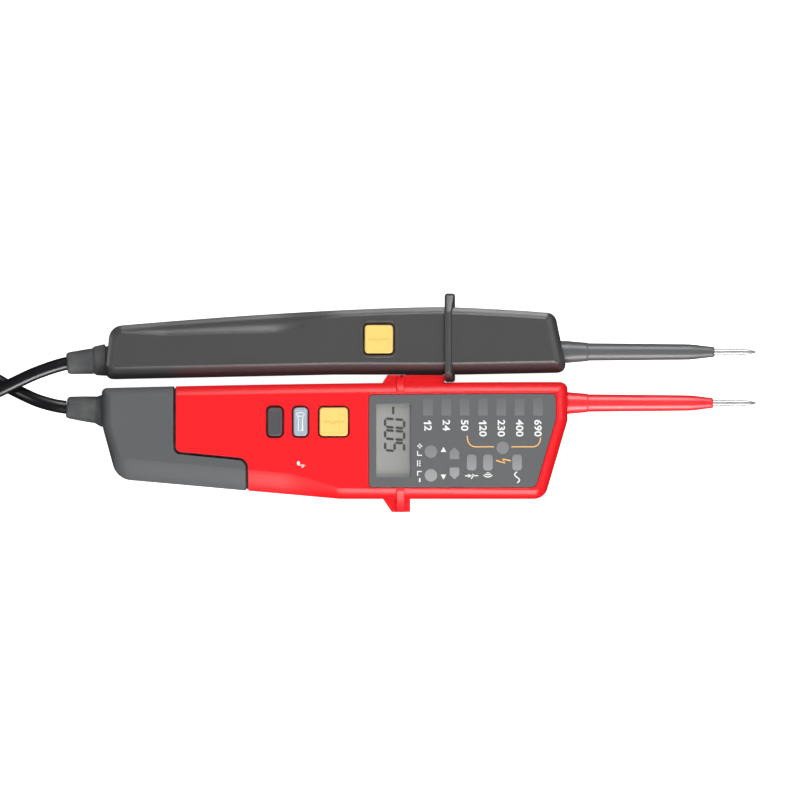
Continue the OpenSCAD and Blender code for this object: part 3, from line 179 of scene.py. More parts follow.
# %% Mesh objects, and their shading
def new_object(name, points, faces):
    """An object of its own mesh, from points in mm."""
    mesh = bpy.data.meshes.new(name)
    mesh.from_pydata([Vector(p) * MM for p in points], [], faces)
    made = bpy.data.objects.new(name, mesh)
    scene.collection.objects.link(made)
    return made


@contextmanager
def editing(made):
    """The object's mesh as a bmesh, written back at the end."""
    work = bmesh.new()
    work.from_mesh(made.data)
    yield work
    work.to_mesh(made.data)
    work.free()


def shaded(made, crease):
    """Outward normals, smooth faces, and sharp edges above the crease angle."""
    with editing(made) as work:
        bmesh.ops.remove_doubles(work, verts=work.verts, dist=0.002 * MM)
        bmesh.ops.dissolve_degenerate(work, edges=work.edges, dist=0.002 * MM)
        bmesh.ops.recalc_face_normals(work, faces=work.faces)
        for edge in work.edges:
            edge.smooth = len(edge.link_faces) != 2 or edge.calc_face_angle(0) < radians(crease)
        for face in work.faces:
            face.smooth = True
    if "even shading" not in made.modifiers:
        made.modifiers.new("even shading", "WEIGHTED_NORMAL").keep_sharp = True


# %% Cut one object with another
def carve(target, cutter, operation="DIFFERENCE"):
    """Cut target with the cutter, (points, faces) or an object, which is used up."""
    if not isinstance(cutter, bpy.types.Object):
        cutter = new_object("tool", *cutter)
        with editing(cutter) as work:
            bmesh.ops.recalc_face_normals(work, faces=work.faces)
    for modifier in [m for m in target.modifiers if m.type == "WEIGHTED_NORMAL"]:
        target.modifiers.remove(modifier)
    cut = target.modifiers.new("cut", "BOOLEAN")
    cut.operation, cut.object, cut.solver = operation, cutter, "MANIFOLD"
    bpy.context.view_layer.update()
    result = bpy.data.meshes.new_from_object(target.evaluated_get(bpy.context.evaluated_depsgraph_get()))
    target.modifiers.remove(cut)
    before, target.data = target.data, result
    print(f"{target.name}: {operation.lower()} took {len(before.polygons)} faces to {len(result.polygons)}")
    bpy.data.meshes.remove(before)
    bpy.data.objects.remove(cutter)


# %% A piece, its finish and its place in the CAD model
def wear(made, finish, slot=None):
    """Give a piece its finish. The slot argument is not used."""
    made.data.materials.clear()
    made.data.materials.append(finish)
    return made


def piece(name, body, shape, finish, slot=None, replaces=(), crease=32, within=None, cuts=()):
    """A new object that rides on a CAD body and stands for the CAD nodes it replaces.

    Only what lies within the one cutter is kept, and the cuts are taken out of it.
    """
    made = new_object(name, *shape)
    shaded(made, crease)
    if within:
        carve(made, within, "INTERSECT")
    for cutter in cuts:
        carve(made, cutter)
    if within or cuts:
        shaded(made, crease)
    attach(made, body)
    if replaces:
        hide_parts(*replaces)
    print(name, "has", len(made.data.polygons), "faces")
    return wear(made, finish, slot)


# %% Shapes out of rings
def hoop(rings, bands=None):
    """Quads from each ring to the next, and from the last back to the first."""
    n, count = len(rings[0]), len(rings)
    faces = [(k * n + i, k * n + (i + 1) % n, (k + 1) % count * n + (i + 1) % n, (k + 1) % count * n + i)
             for k in range(bands or count) for i in range(n)]
    return [p for ring in rings for p in ring], faces


def skin(rings):
    """A closed skin through rings of equal length, from the lowest to the highest."""
    points, faces = hoop(rings, len(rings) - 1)
    n = len(rings[0])
    return points, faces + [tuple(reversed(range(n))), tuple(range(len(points) - n, len(points)))]


def circle(middle, side, up, r, sides):
    """A ring of points round the middle, from side towards up."""
    return [middle + r * (cos(t) * side + sin(t) * up) for t in (2 * pi * k / sides for k in range(sides))]


def joined(*parts):
    """Several (points, faces) as one."""
    points, faces = [], []
    for p, f in parts:
        faces += [tuple(i + len(points) for i in face) for face in f]
        points += list(p)
    return points, faces


# %% [markdown]
# ## Plane geometry
# The casings are drawn as a designer draws them: straight and bowed sides that meet in sharp corners, which
# are then set in and rounded. The same few functions serve both units, the display panel, the seam of the
# rear cap and the buttons.

# %% Corners of an outline
def left(v):
    return Vector((-v.y, v.x))


def cross2(a, b):
    return a.x * b.y - a.y * b.x


def set_in(a, v, b, in_a, in_b):
    """The corner v of an outline a-v-b, set in by in_a and in_b from its two sides."""
    d, e = (v - a).normalized(), (b - v).normalized()
    p, q = v + in_a * left(d), v + in_b * left(e)
    return p + d * (cross2(q - p, e) / cross2(d, e))


def corner(a, v, b, in_a, in_b, r, steps):
    """The same corner, rounded. A negative radius rounds a corner that turns inwards."""
    d, e = (v - a).normalized(), (b - v).normalized()
    turn = atan2(cross2(d, e), d.dot(e))
    mid = set_in(a, v, b, in_a, in_b) - d * (r * tan(turn / 2)) + r * left(d)
    start = atan2(-left(d).y, -left(d).x)
    return [mid + r * Vector((cos(t), sin(t))) for t in (start + turn * i / steps for i in range(steps + 1))]


def rounded_plan(corners, grow=0.0, steps=6):
    """An outline, counter-clockwise, of corners (x, y, radius), grown by grow on every side."""
    ring = []
    for i, (x, y, r) in enumerate(corners):
        a, v, b = Vector(corners[i - 1][:2]), Vector((x, y)), Vector(corners[(i + 1) % len(corners)][:2])
        if r == 0:
            ring.append(set_in(a, v, b, -grow, -grow))
            continue
        outwards = cross2((v - a).normalized(), (b - v).normalized()) > 0
        ring += corner(a, v, b, -grow, -grow, max(r + grow, 0.1) if outwards else -max(r - grow, 0.1), steps)
    return ring


def box_plan(x0, x1, y0, y1, r):
    return [(x0, y0, r), (x1, y0, r), (x1, y1, r), (x0, y1, r)]


def oblong(x, y, w, h, r):
    """Corners of a rounded rectangle about its middle."""
    return box_plan(x - w / 2, x + w / 2, y - h / 2, y + h / 2, r)


def disc(x, y, r):
    return oblong(x, y, 2 * r, 2 * r, r - 0.001)


# %% Outlines raised to solids
def at(ring, z):
    return [(p[0], p[1], z) for p in ring]


def prism(plan, z0, z1):
    """A flat outline, raised from z0 to z1."""
    return skin([at(plan, z0), at(plan, z1)])


def slab(corners, levels, steps=6):
    """A skin through one outline, grown by each level's amount at its height."""
    return skin([at(rounded_plan(corners, grow, steps), z) for z, grow in levels])


def block(x0, x1, y0, y1, z0, z1):
    return slab(box_plan(x0, x1, y0, y1, 0), [(z0, 0), (z1, 0)])


def shares(first, last, count):
    """So many even steps from the first value to the last."""
    return [first + (last - first) * i / (count - 1) for i in range(count)]


# %% [markdown]
# ## The finishes
# A finish is a small network of nodes. Written link by link it is hard to read, so one class wraps a socket
# and takes part in ordinary arithmetic: `1 - mask * 0.3` adds two Math nodes. Colours go through Mix nodes,
# because a Math node would turn them grey.

# %% A socket that takes part in sums
def operator(operation, reflected=False):
    """A method that adds a Math node. Reflected, the plain number stands first, as in 1 - wire."""
    def method(self, other):
        return self.math(operation, other, self) if reflected else self.math(operation, self, other)
    return method


class Wire:
    """One output socket of a finish."""

    def __init__(self, finish, socket):
        self.finish, self.socket = finish, socket

    def math(self, operation, *values):
        return self.finish.node("ShaderNodeMath", {"operation": operation}, dict(enumerate(values)))

    __add__ = __radd__ = operator("ADD")
    __sub__, __rsub__ = operator("SUBTRACT"), operator("SUBTRACT", reflected=True)
    __mul__ = __rmul__ = operator("MULTIPLY")
    __pow__, __gt__, __lt__ = operator("POWER"), operator("GREATER_THAN"), operator("LESS_THAN")


# %% A finish and its nodes
class Finish:
    """A material, or the sky, while its nodes are being added."""

    def __init__(self, name, owner=None):
        self.owner = owner or bpy.data.materials.new(name)
        self.owner.use_nodes = True
        self.tree = self.owner.node_tree

    def node(self, kind, settings=None, inputs=None, out=0):
        """Add a node: its settings first, then the values or links of its sockets."""
        made = self.tree.nodes.new(kind)
        for name, value in (settings or {}).items():
            setattr(made, name, value)
        for key, value in (inputs or {}).items():
            self.feed(made.inputs[key], value)
        return Wire(self, made.outputs[out])

    def feed(self, socket, value):
        if isinstance(value, Wire):
            self.tree.links.new(value.socket, socket)
        else:
            socket.default_value = value

    def surface(self, **sockets):
        """Feed the shader's own sockets, written as Base_Color and so on, and hand over the material."""
        for name, value in sockets.items():
            self.feed(self.tree.nodes["Principled BSDF"].inputs[name.replace("_", " ")], value)
        return self.owner


# %% Colours
def paint(r, g, b):
    """A colour as it looks on a screen, 0 to 255, as the linear light that Blender wants."""
    def linear(c):
        c /= 255
        return c / 12.92 if c <= 0.04045 else ((c + 0.055) / 1.055) ** 2.4
    return (linear(r), linear(g), linear(b), 1.0)


def toned(colour, share, level=0.0):
    """The colour, moved by a share towards black, or towards another level of grey."""
    return (*(c + (level - c) * share for c in colour[:3]), 1.0)


# %% Patterns that many finishes share
def place(finish):
    """Where a point lies on the object, in metres."""
    return finish.node("ShaderNodeTexCoord", out="Object")


def along(finish, axis):
    return finish.node("ShaderNodeSeparateXYZ", inputs={"Vector": place(finish)}, out=axis)


def noise(finish, size, detail=2.0, stretch=(1, 1, 1)):
    """Soft random clouds, 0 to 1. Size is that of one cloud in mm."""
    where = finish.node("ShaderNodeMapping", inputs={"Vector": place(finish), "Scale": stretch})
    return finish.node("ShaderNodeTexNoise", inputs={"Vector": where, "Scale": 1000 / size, "Detail": detail})


def blend(finish, share, a, b):
    """Colour a where share is 0, colour b where it is 1."""
    return finish.node("ShaderNodeMix", {"data_type": "RGBA"}, {0: share, 6: a, 7: b}, out=2)


def soft_edges(finish, radius):
    """A normal that runs round sharp edges as if they had that radius in mm, and a mask of those edges."""
    rounded = finish.node("ShaderNodeBevel", {"samples": 4}, {"Radius": radius * MM})
    true = finish.node("ShaderNodeNewGeometry", out="Normal")
    same = finish.node("ShaderNodeVectorMath", {"operation": "DOT_PRODUCT"}, {0: rounded, 1: true},
                       out="Value")
    return rounded, 1 - same


def relief(finish, height, depth, strength=1.0, normal=None):
    """A bump whose full height is depth, in mm."""
    inputs = {"Height": height, "Distance": depth * MM, "Strength": strength}
    if normal is not None:
        inputs["Normal"] = normal
    return finish.node("ShaderNodeBump", inputs=inputs)


# %% [markdown]
# Most of the tester is injection-moulded plastic. The steel mould is spark-eroded, which leaves a fine even
# grain, so the plastic has soft highlights instead of mirrors. Colour drifts a little over a part, corners
# that are gripped get polished and slightly paler, and nothing is perfectly even. The paling runs along every
# sharp edge, so it is partly wear and partly a painted highlight. One function gives all of that, and each
# plastic only names its colour, its gloss and the size of its grain.

# %% Moulded plastic
def moulded(name, colour, gloss, grain=0.35, depth=0.012, edge=0.6, polish_and_highlight_share=0.25, drift=0.10, specular=0.4):
    """A spark-eroded plastic. Gloss is the roughness, grain and depth the texture in mm."""
    finish = Finish(name)
    clouds, specks = noise(finish, 22, 3), noise(finish, grain, 3)
    rounded, edges = soft_edges(finish, edge)
    body = blend(finish, clouds * 0.8 + specks * 0.2, toned(colour, drift), colour)
    # Every sharp edge is painted paler: partly polish where the part is gripped, partly a painted highlight
    # along the edge.
    polish_and_highlight = edges * noise(finish, 3, 4) * 2.2
    print(name, "is moulded plastic with a grain of", grain, "mm")
    return finish.surface(
        Base_Color=blend(finish, polish_and_highlight.math("MINIMUM", polish_and_highlight, 1.0), body, toned(colour, polish_and_highlight_share, 1.0)),
        Roughness=gloss + (specks - 0.5) * 0.12 + (clouds - 0.5) * 0.08,
        Normal=relief(finish, specks, depth, 0.6, rounded), Specular_IOR_Level=specular)


red_plastic = moulded("red_plastic", (0.93, 0.012, 0.018, 1), 0.36, polish_and_highlight_share=0.12, drift=0.05, specular=0.42)
cap_plastic = moulded("grey_cap_plastic", paint(96, 98, 100), 0.52, grain=0.45, depth=0.02, specular=0.32)
panel_plastic = moulded("panel_plastic", paint(101, 103, 104), 0.42, grain=0.25, depth=0.006, edge=0.15)
dark_plastic = moulded("dark_plastic", paint(74, 74, 75), 0.33, grain=0.4, depth=0.012, specular=0.6)
yellow_plastic = moulded("yellow_plastic", (1.0, 0.67, 0.19, 1), 0.4, grain=0.3, depth=0.006, polish_and_highlight_share=0.3)
blue_plastic = moulded("pale_blue_plastic", paint(170, 184, 198), 0.4, grain=0.3, depth=0.006)
hold_plastic = moulded("dark_key_plastic", paint(84, 84, 87), 0.42, grain=0.3, depth=0.006)
white_plastic = moulded("white_plastic", paint(214, 214, 208), 0.5, grain=0.5)
black_plastic = moulded("black_plastic", paint(34, 35, 37), 0.45, grain=0.4)
glossy_red = moulded("sleeve_red", (0.93, 0.02, 0.03, 1), 0.36, grain=0.8, depth=0.001, polish_and_highlight_share=0.2,
                     specular=0.78)
glossy_dark = moulded("sleeve_dark", paint(95, 96, 97), 0.36, grain=0.8, depth=0.001, specular=0.55)

# %% [markdown]
# Rubber is duller than plastic and picks up dust in its pores. The lead's jacket is smooth PVC, black and
# rather glossy, with faint rings where it was drawn out of the extruder.

# %% Rubber and the lead's jacket
def soft_rubber(name, colour, gloss):
    finish = Finish(name)
    dust, pores = noise(finish, 6, 5), noise(finish, 0.22, 2)
    rounded, _ = soft_edges(finish, 0.4)
    return finish.surface(Base_Color=blend(finish, (dust ** 3) * 1.6, colour, toned(colour, 0.18, 0.5)),
                          Roughness=gloss + dust * 0.12, Normal=relief(finish, pores, 0.015, 0.5, rounded),
                          Specular_IOR_Level=0.35)


def drawn_jacket(name, colour):
    finish = Finish(name)
    scuffs, rings = noise(finish, 4, 4), noise(finish, 1.2, 1)
    return finish.surface(Base_Color=blend(finish, scuffs * 0.2, colour, paint(50, 50, 54)),
                          Roughness=0.22 + scuffs * 0.16, Normal=relief(finish, rings, 0.01, 0.5),
                          Specular_IOR_Level=0.6)


gland_rubber = soft_rubber("gland_rubber", paint(78, 79, 80), 0.5)
# The near-black and the dark red here are painted shade: they fill the cap's seam and the gaps round the
# keys, where only the gaps' shadow shows.
painted_shade_black = soft_rubber("painted_shade_black", paint(14, 14, 15), 0.7)
painted_shade_red = soft_rubber("painted_shade_red", paint(82, 8, 10), 0.7)
lead_jacket = drawn_jacket("lead_jacket", paint(21, 21, 23))
print("rubber and jacket are ready")

# %% [markdown]
# Metal shows how it was made. The tips are turned on a lathe, which leaves fine rings across the axis, so
# their noise is squeezed along X. Springs and plates are nickel-plated and only slightly blurred.

# %% Metals
def turned_metal(name, colour, gloss, rings=0.12):
    finish = Finish(name)
    marks, stains = noise(finish, rings * 20, 2, stretch=(20, 1, 1)), noise(finish, 3, 4)
    return finish.surface(Base_Color=blend(finish, stains * 0.35, colour, toned(colour, 0.25)), Metallic=1.0,
                          Roughness=gloss + marks * 0.08 + stains * 0.04,
                          Normal=relief(finish, marks, 0.01, 0.6))


steel = turned_metal("turned_steel", paint(214, 214, 217), 0.3)
screw_steel = turned_metal("zinc_plated_steel", paint(176, 178, 182), 0.32)
nickel = turned_metal("nickel_plate", paint(212, 208, 196), 0.2)
brass = turned_metal("brass", paint(214, 178, 98), 0.28)
print("metals are ready")

# %% [markdown]
# ## Light and floor
# A catalogue picture like this one is shot on a light table, with black flags near the horizon and a soft
# box close by on each side. The ground burns out to plain white, the tops take even light from above, and
# every rounded edge shows one bright band and then turns dark.
#
# The floor is kept out of the reflections, as flags would keep it, so that edges stay crisp. The sky is
# brightest overhead and dark at the horizon.

# %% A pale floor that glows a little
finish = Finish("floor")
reach = 4000.0
square = [(-reach, -reach), (reach, -reach), (reach, reach), (-reach, reach)]
floor = new_object("floor", at(square, -0.3), [(0, 1, 2, 3)])
wear(floor, finish.surface(
    Base_Color=blend(finish, noise(finish, 900, 1), (0.80, 0.80, 0.80, 1), (0.83, 0.83, 0.83, 1)),
    Roughness=0.9, Specular_IOR_Level=0.0, Emission_Color=(1, 1, 1, 1), Emission_Strength=0.9))
floor.visible_glossy = floor.visible_diffuse = False
floor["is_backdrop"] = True
print("the floor is", 2 * reach * MM, "m wide")

# %% The sky
scene.view_settings.view_transform = "Standard"
sky = Finish("studio", bpy.data.worlds.new("studio"))
scene.world = sky.owner
way = sky.node("ShaderNodeTexCoord", out="Generated")
view_up = sky.node("ShaderNodeSeparateXYZ", inputs={"Vector": way}, out="Z")


def rise(start, end, low, high):
    """A value that goes from low to high as the view rises from start to end."""
    return sky.node("ShaderNodeMapRange", {"interpolation_type": "SMOOTHSTEP"},
                    {"Value": view_up, "From Min": start, "From Max": end, "To Min": low, "To Max": high})


sky.feed(sky.tree.nodes["Background"].inputs["Strength"],
         rise(0.05, 0.8, 0.04, 0.6) + rise(-0.5, -0.1, 0.2, 0.0))
print("the sky has", len(sky.tree.nodes), "nodes")


# %% Five soft boxes
box_aim = Vector((-0.02, 0.0, 0.02))


def soft_box(name, zenith, azimuth, distance, size, radiance, in_reflections=True):
    """A rectangular light that looks at the tester from so many degrees off straight above."""
    z, a = radians(zenith), radians(azimuth)
    way = Vector((sin(z) * cos(a), sin(z) * sin(a), cos(z)))
    light = bpy.data.lights.new(name, "AREA")
    light.shape, light.size, light.size_y = "RECTANGLE", size[0], size[1]
    light.energy = radiance * pi * size[0] * size[1]
    made = bpy.data.objects.new(name, light)
    made.location = box_aim + distance * way
    made.rotation_euler = way.to_track_quat("Z", "Y").to_euler()
    made.visible_glossy = in_reflections
    scene.collection.objects.link(made)
    print(name, "gives", round(light.energy, 1), "W")


soft_box("box_above", 0, 0, 2.0, (1.6, 0.6), 4.7, in_reflections=False)
soft_box("box_far_side", 61, 79, 0.8, (0.4, 0.46), 8.0)
soft_box("box_near_side", 63, -78, 0.8, (0.4, 0.46), 11.6)
soft_box("box_rear", 62, 180, 1.4, (0.6, 0.5), 3.0)
soft_box("box_front", 66, 0, 1.4, (0.6, 0.5), 2.8)


# %% [markdown]
# ## The lead and its tie
# A tube is a ring of points carried along the line, always square to it. Turning each ring by the smallest
# angle from the last one keeps the tube from twisting. Blender's own bevelled curve would do as well, but a
# mesh tube can be measured and carries its finish without a curve's own coordinates.

# %% Carry a ring along a line
def tube(line, r, sides):
    """A round tube of radius r along the line."""
    ways = [(line[min(i + 1, len(line) - 1)] - line[max(i - 1, 0)]).normalized() for i in range(len(line))]
    side = ways[0].orthogonal().normalized()
    rings = []
    for middle, way in zip(line, ways):
        side = (side - way * side.dot(way)).normalized()
        rings.append(circle(middle, side, way.cross(side), r, sides))
    return skin(rings)


lead = piece("lead", "main_unit", tube(lead_line, lead_d / 2, 22), lead_jacket, "cord_rubber",
             ("cord_main_run", "cord_coil", "cord_aux_run"))
print("the lead's skin has", len(lead.data.polygons), "faces")

# %% [markdown]
# The tie is a strap of woven hook-and-loop tape that goes once round the coil's turns. It lies flat under
# the coil and arches a little over it.

# %% The strap round the coil
tie_lo, tie_hi = (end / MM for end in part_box("cord_tie"))
tie_corners = [(tie_lo.x, 0, 1.6), (tie_hi.x, 0, 1.6), (tie_hi.x, tie_hi.z, 2.2), (tie_lo.x, tie_hi.z, 2.2)]
ys = [tie_lo.y, tie_lo.y + 0.3, tie_hi.y - 0.3, tie_hi.y]
lifts = (0.35, 0, 0, 0.35, 0.5, strap_t, strap_t, 0.5)
strap = hoop([[(p.x, y, p.y) for p in rounded_plan(tie_corners, -lift)]
              for y, lift in zip(ys + ys[::-1], lifts)])

finish = Finish("woven_tape")
threads = finish.node("ShaderNodeTexWave", {"bands_direction": "DIAGONAL"},
                      {"Vector": place(finish), "Scale": 420.0, "Distortion": 1.5})
fuzz = noise(finish, 0.5, 4)
finish.surface(Base_Color=blend(finish, fuzz, paint(30, 30, 33), paint(62, 62, 66)), Roughness=0.85,
               Normal=relief(finish, threads * 0.6 + fuzz * 0.6, 0.12, 0.8), Sheen_Weight=0.3)
tie = piece("lead_tie", "main_unit", strap, finish.owner, "cord_rubber", ("cord_tie",))
print("the strap is", round(tie_hi.y - tie_lo.y, 1), "mm wide")

# %% [markdown]
# ## The main unit's casing
# Seen from above the casing is wide and square at the display, slanted at its lower nose corner, and draws
# in towards the rear. Its top edge is a broad curved band that meets the flat top in a soft line. Along the
# lower side, behind the display, that band widens in an S-curve into the grip.
#
# It is one skin through about thirty outlines, and then it is cut as the real mould parts cut it: a front
# half, a back half and a rear cap.

# %% Corner points of the main casing
nose_x, main_l, dock_y, main_w, main_h = 61.6, 183.9, 8.3, 46.2, 30.0
rear_x, low_y, dock_bow = nose_x - main_l, dock_y - main_w, 2.4
edge_w, edge_h, back_w, back_h, wall = 3.6, 9.0, 3.0, 5.0, 2.0
nose_top, nose_bend = Vector((nose_x, dock_y)), Vector((nose_x, dock_y - 15.3))
nose_low, low_bend = Vector((nose_x - 9.1, low_y)), Vector((nose_x - 0.488 * main_l, low_y))
rear_low, rear_bend = Vector((rear_x + 5.9, low_y + 7.9)), Vector((rear_x, dock_y - dock_bow - 14.2))
rear_top = Vector((rear_x, dock_y - dock_bow))
grip_w, grip_fade, grip_x = 8.4, 29.0, -21.5


def dock_side_y(x):
    return dock_y - dock_bow * ((nose_x - x) / main_l) ** 2


def low_side_y(x):
    return low_y + (rear_low.y - low_y) * max(0.0, (low_bend.x - x) / (low_bend.x - rear_low.x))


def main_ring(inset, grip=0.0):
    """The casing's outline, set in, with a share of the grip's width on the lower side."""
    def r(full):
        return max(full - inset, 0.8)
    x1 = nose_x - 0.9 * main_l
    bow_end, widen = Vector((x1, dock_side_y(x1))), grip * (grip_w - edge_w)
    ring = corner(nose_bend, nose_top, bow_end, inset, inset, r(2.8), 9)
    ring += [Vector((x, dock_side_y(x) - inset)) for x in shares(nose_x - 6, x1, 26)]
    ring += corner(bow_end, rear_top, rear_bend, inset, inset, r(2), 10)
    ring += corner(rear_top, rear_bend, rear_low, inset, inset, 3, 4)
    ring += corner(rear_bend, rear_low, low_bend, inset, inset + widen, r(7.9), 12)
    ring += [Vector((x, low_side_y(x) + inset + widen * eased((grip_x - x) / grip_fade)))
             for x in shares(rear_low.x + 9, low_bend.x, 44)]
    ring += corner(low_bend, nose_low, nose_bend, inset, inset, r(5.6), 12)
    return ring + corner(nose_low, nose_bend, nose_top, inset, inset, 3, 4)


lo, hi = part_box("front_shell")
print("the casing's nose is", round(nose_x - hi.x / MM, 2), "mm from the CAD's")

# %% The curved band along the top and the smaller one along the back
band_steps, band_low = 10, main_h - 5.6


def band(z_side, z_top, end):
    """Heights of a curved band, and how much of the edge's and of the grip's width is reached at each."""
    turns = [radians(end) * i / band_steps for i in range(band_steps + 1)]
    full = turns[-1]
    return [(z_side + (z_top - z_side) * sin(t) / sin(full), (1 - cos(t)) / (1 - cos(full)),
             sin(t) / sin(full))
            for t in turns]


def casing_rings(low, top, inset=0.0):
    """The two bands' outlines, from the back's height low to the top's height, all set in."""
    under = [at(main_ring(back_w * s + inset), z) for z, s, _ in reversed(band(back_h, low, 70))]
    return under, [at(main_ring(edge_w * s + inset, grip), z) for z, s, grip in band(band_low, top, 66)]


back_rings, top_rings = casing_rings(0.0, main_h)
main_rings = back_rings + top_rings
print("the main casing runs through", len(main_rings), "outlines of", len(main_rings[0]), "points")

# %% Cutters: the hollow inside, and the rear cap's edge, an L with a sloped step
cap_front, cap_low_front, step_y, step_drop = rear_x + 28.3, rear_x + 56.8, dock_y - 28.3, 2.8
seam, far = 1.0, 60


def core(*levels):
    """A skin through the casing's outline at (height, inset, share of the grip)."""
    return skin([at(main_ring(inset, grip), z) for z, inset, grip in levels])


low_core = [(wall, wall + back_w, 0), (back_h - 0.01, wall + back_w, 0), (back_h, wall, 0)]
top_core = [(main_h - edge_h, wall, 0), (main_h - edge_h + 0.01, edge_w + wall, 1),
            (main_h - wall, edge_w + wall, 1)]


def cap_plan(grow):
    corners = [(rear_x - far, low_y - far, 0), (cap_low_front, low_y - far, 0),
               (cap_low_front, step_y - step_drop, 3), (cap_front, step_y, 3), (cap_front, dock_y + far, 0),
               (rear_x - far, dock_y + far, 0)]
    return rounded_plan(corners, grow, 10)


print("the cap ends", round(cap_low_front - cap_front, 1), "mm further forward on the lower side")

# %% [markdown]
# The display sits under a grey panel in a recess of the front half. The recess has a small lead-in all
# round, which catches the light as the thin pink line in the photograph. The openings of the three keys get
# the same lead-in, but wider, so that each key stands in a dark ring.

# %% Outlines of the panel and the keys
panel_l, panel_in = 73.7, edge_w + 1.1
panel_x, panel_y, panel_w = nose_x - panel_in - panel_l, dock_y - panel_in, main_w - 2 * panel_in
panel_floor, panel_top = main_h - 1.0, main_h + 0.2
panel_low, panel_nose = low_y + panel_in, nose_x - panel_in
slant_way = (nose_bend - nose_low).normalized()
slant_at = nose_bend + panel_in * left(slant_way)
panel_corners = [
    (panel_x, panel_low, 1.6),
    ((slant_at + slant_way * ((panel_low - slant_at.y) / slant_way.y)).x, panel_low, 2.8),
    (panel_nose, (slant_at + slant_way * ((panel_nose - slant_at.x) / slant_way.x)).y, 2.5),
    (panel_nose, panel_y, 1.6), *((x, dock_side_y(x) - panel_in, 0) for x in (40, 20, 0)),
    (panel_x, dock_side_y(panel_x) - panel_in, 1.6)]

key_y, key_h, key_r, key_gap = dock_y - 15.7, 11.2, 1.4, 0.65
keys = {"test": (nose_x - 92.3, key_y, 11.2, main_h), "torch": (nose_x - 105.4, key_y, 5.5, main_h),
        "hold": (nose_x - 115.5, key_y, 5.7, main_h), "second": (-12.9, 25.2, 11.2, 27.0)}


def key_plan(name):
    x, y, w, _ = keys[name]
    return oblong(x, y, w, key_h, key_r)


def key_hole(name, depth=6.5):
    top = keys[name][3]
    return slab(key_plan(name), [(top - depth, key_gap), (top - 0.35, key_gap), (top - 0.1, key_gap + 0.14),
                                 (top + 0.05, key_gap + 0.36), (top + 2, key_gap + 0.36)])


print("panel:", panel_l, "by", round(panel_w, 1), "mm")

# %% Front half of the main casing
split = 0.1  # half of the fine line between the halves
recess = slab(panel_corners,
              [(panel_floor, 0.1), (main_h - 0.25, 0.1), (main_h + 0.02, 0.55), (main_h + 3, 0.55)])
recess_hole = slab(panel_corners, [(main_h - edge_h, -1.6), (main_h + 3, -1.6)])
piece("front_casing", "main_unit", skin([at(main_ring(0), axis_z + split)] + top_rings), red_plastic,
      "red_plastic", ("front_shell",), 14,
      cuts=(core((axis_z - 1, wall, 0), *top_core), prism(cap_plan(seam), 0, main_h + 2), recess,
            recess_hole, joined(key_hole("test"), key_hole("torch"), key_hole("hold"))))

# %% Back half of the main casing, with the battery bay
door_x0, door_x1, door_mid_y, door_w = -54.2, 7.8, -17.02, 27.0
bay_x0, bay_l, bay_top, bay_wall = door_x0 + 1.6, 48.9, 13.2, 1.4
door_y0, door_y1 = door_mid_y - door_w / 2, door_mid_y + door_w / 2
main_screws = [(-85.66, 2.1), (-59.4, -30.5), (-0.93, 3.7), (39.9, -33.3)]


def screw_wells(places, z):
    """The sunk round holes that the screws' heads lie in."""
    levels = [(z - 1, 0.25), (z, 0.25), (z + 0.25, 0), (z + 3.0, 0)]
    return joined(*(slab(disc(x, y, 2.45), levels, 8) for x, y in places))


hollow = new_object("hollow", *core(*low_core, (axis_z + 1, wall, 0)))
shaded(hollow, 20)
carve(hollow, block(door_x0 - bay_wall, door_x1 + bay_wall, door_y0 - bay_wall, door_y1 + bay_wall, 0,
                    bay_top + bay_wall))
door_seat = slab(box_plan(door_x0, door_x1, door_y0, door_y1, 0.8),
                 [(-2, 0.2), (0, 0.2), (0.25, 0), (wall - 0.1, 0)])
piece("back_casing", "main_unit", skin(back_rings + [at(main_ring(0), axis_z - split)]), red_plastic,
      "red_plastic", ("back_shell",), 20,
      cuts=(hollow, prism(cap_plan(seam), -2, axis_z + 2), door_seat,
            block(bay_x0, bay_x0 + bay_l, door_y0 + 1.6, door_y1 - 1.6, 1, bay_top),
            screw_wells(main_screws, 0)))

# %% Rear cap
cap_levels = ((-2, 0), (main_h - 0.35, 0), (main_h + 0.02, -0.3), (main_h + 2, -0.3))
piece("rear_cap", "main_unit", skin(main_rings), cap_plastic, "grey_cover_plastic", ("rear_cover",), 14,
      within=skin([at(cap_plan(g), z) for z, g in cap_levels]), cuts=(core(*low_core, *top_core),))

# %% [markdown]
# Under the seam between the cap and the shells lies a lip, which keeps dust out. Here it is a thin inner band
# of near-black painted shade that closes the seam, so that the gap reads as a dark line and no light shows
# through it.

# %% The lip that closes the seam, in painted shade
lip_in, lip_back = 0.7, 2.2
lip_low, lip_top = casing_rings(lip_in, main_h - 0.9, lip_in)
lip_core = core((lip_back, lip_back + back_w, 0), (back_h, lip_back, 0), (main_h - edge_h, lip_back, 0),
                (main_h - lip_back, edge_w + lip_back, 1))
# The lip's near-black is painted shade in the seam.
piece("seam_shade_lip", "main_unit", skin(lip_low + lip_top), painted_shade_black, "black_plastic",
      within=prism(cap_plan(seam + 0.05), -2, main_h + 2),
      cuts=(prism(cap_plan(-0.05), -3, main_h + 3), lip_core))

# %% [markdown]
# ## Finger barrier and dock rail
# On both sides of the display a rib keeps the fingers away from the live end. The one on the docking side
# is low, because the second unit passes it; the one on the lower side stands out further. Each has a sloped
# web behind it and a small block in front. They are moulded with the casing, so they wear the same red.
# Their edges are bevelled in code: their faces are few and clean, which is where a bevel works best.

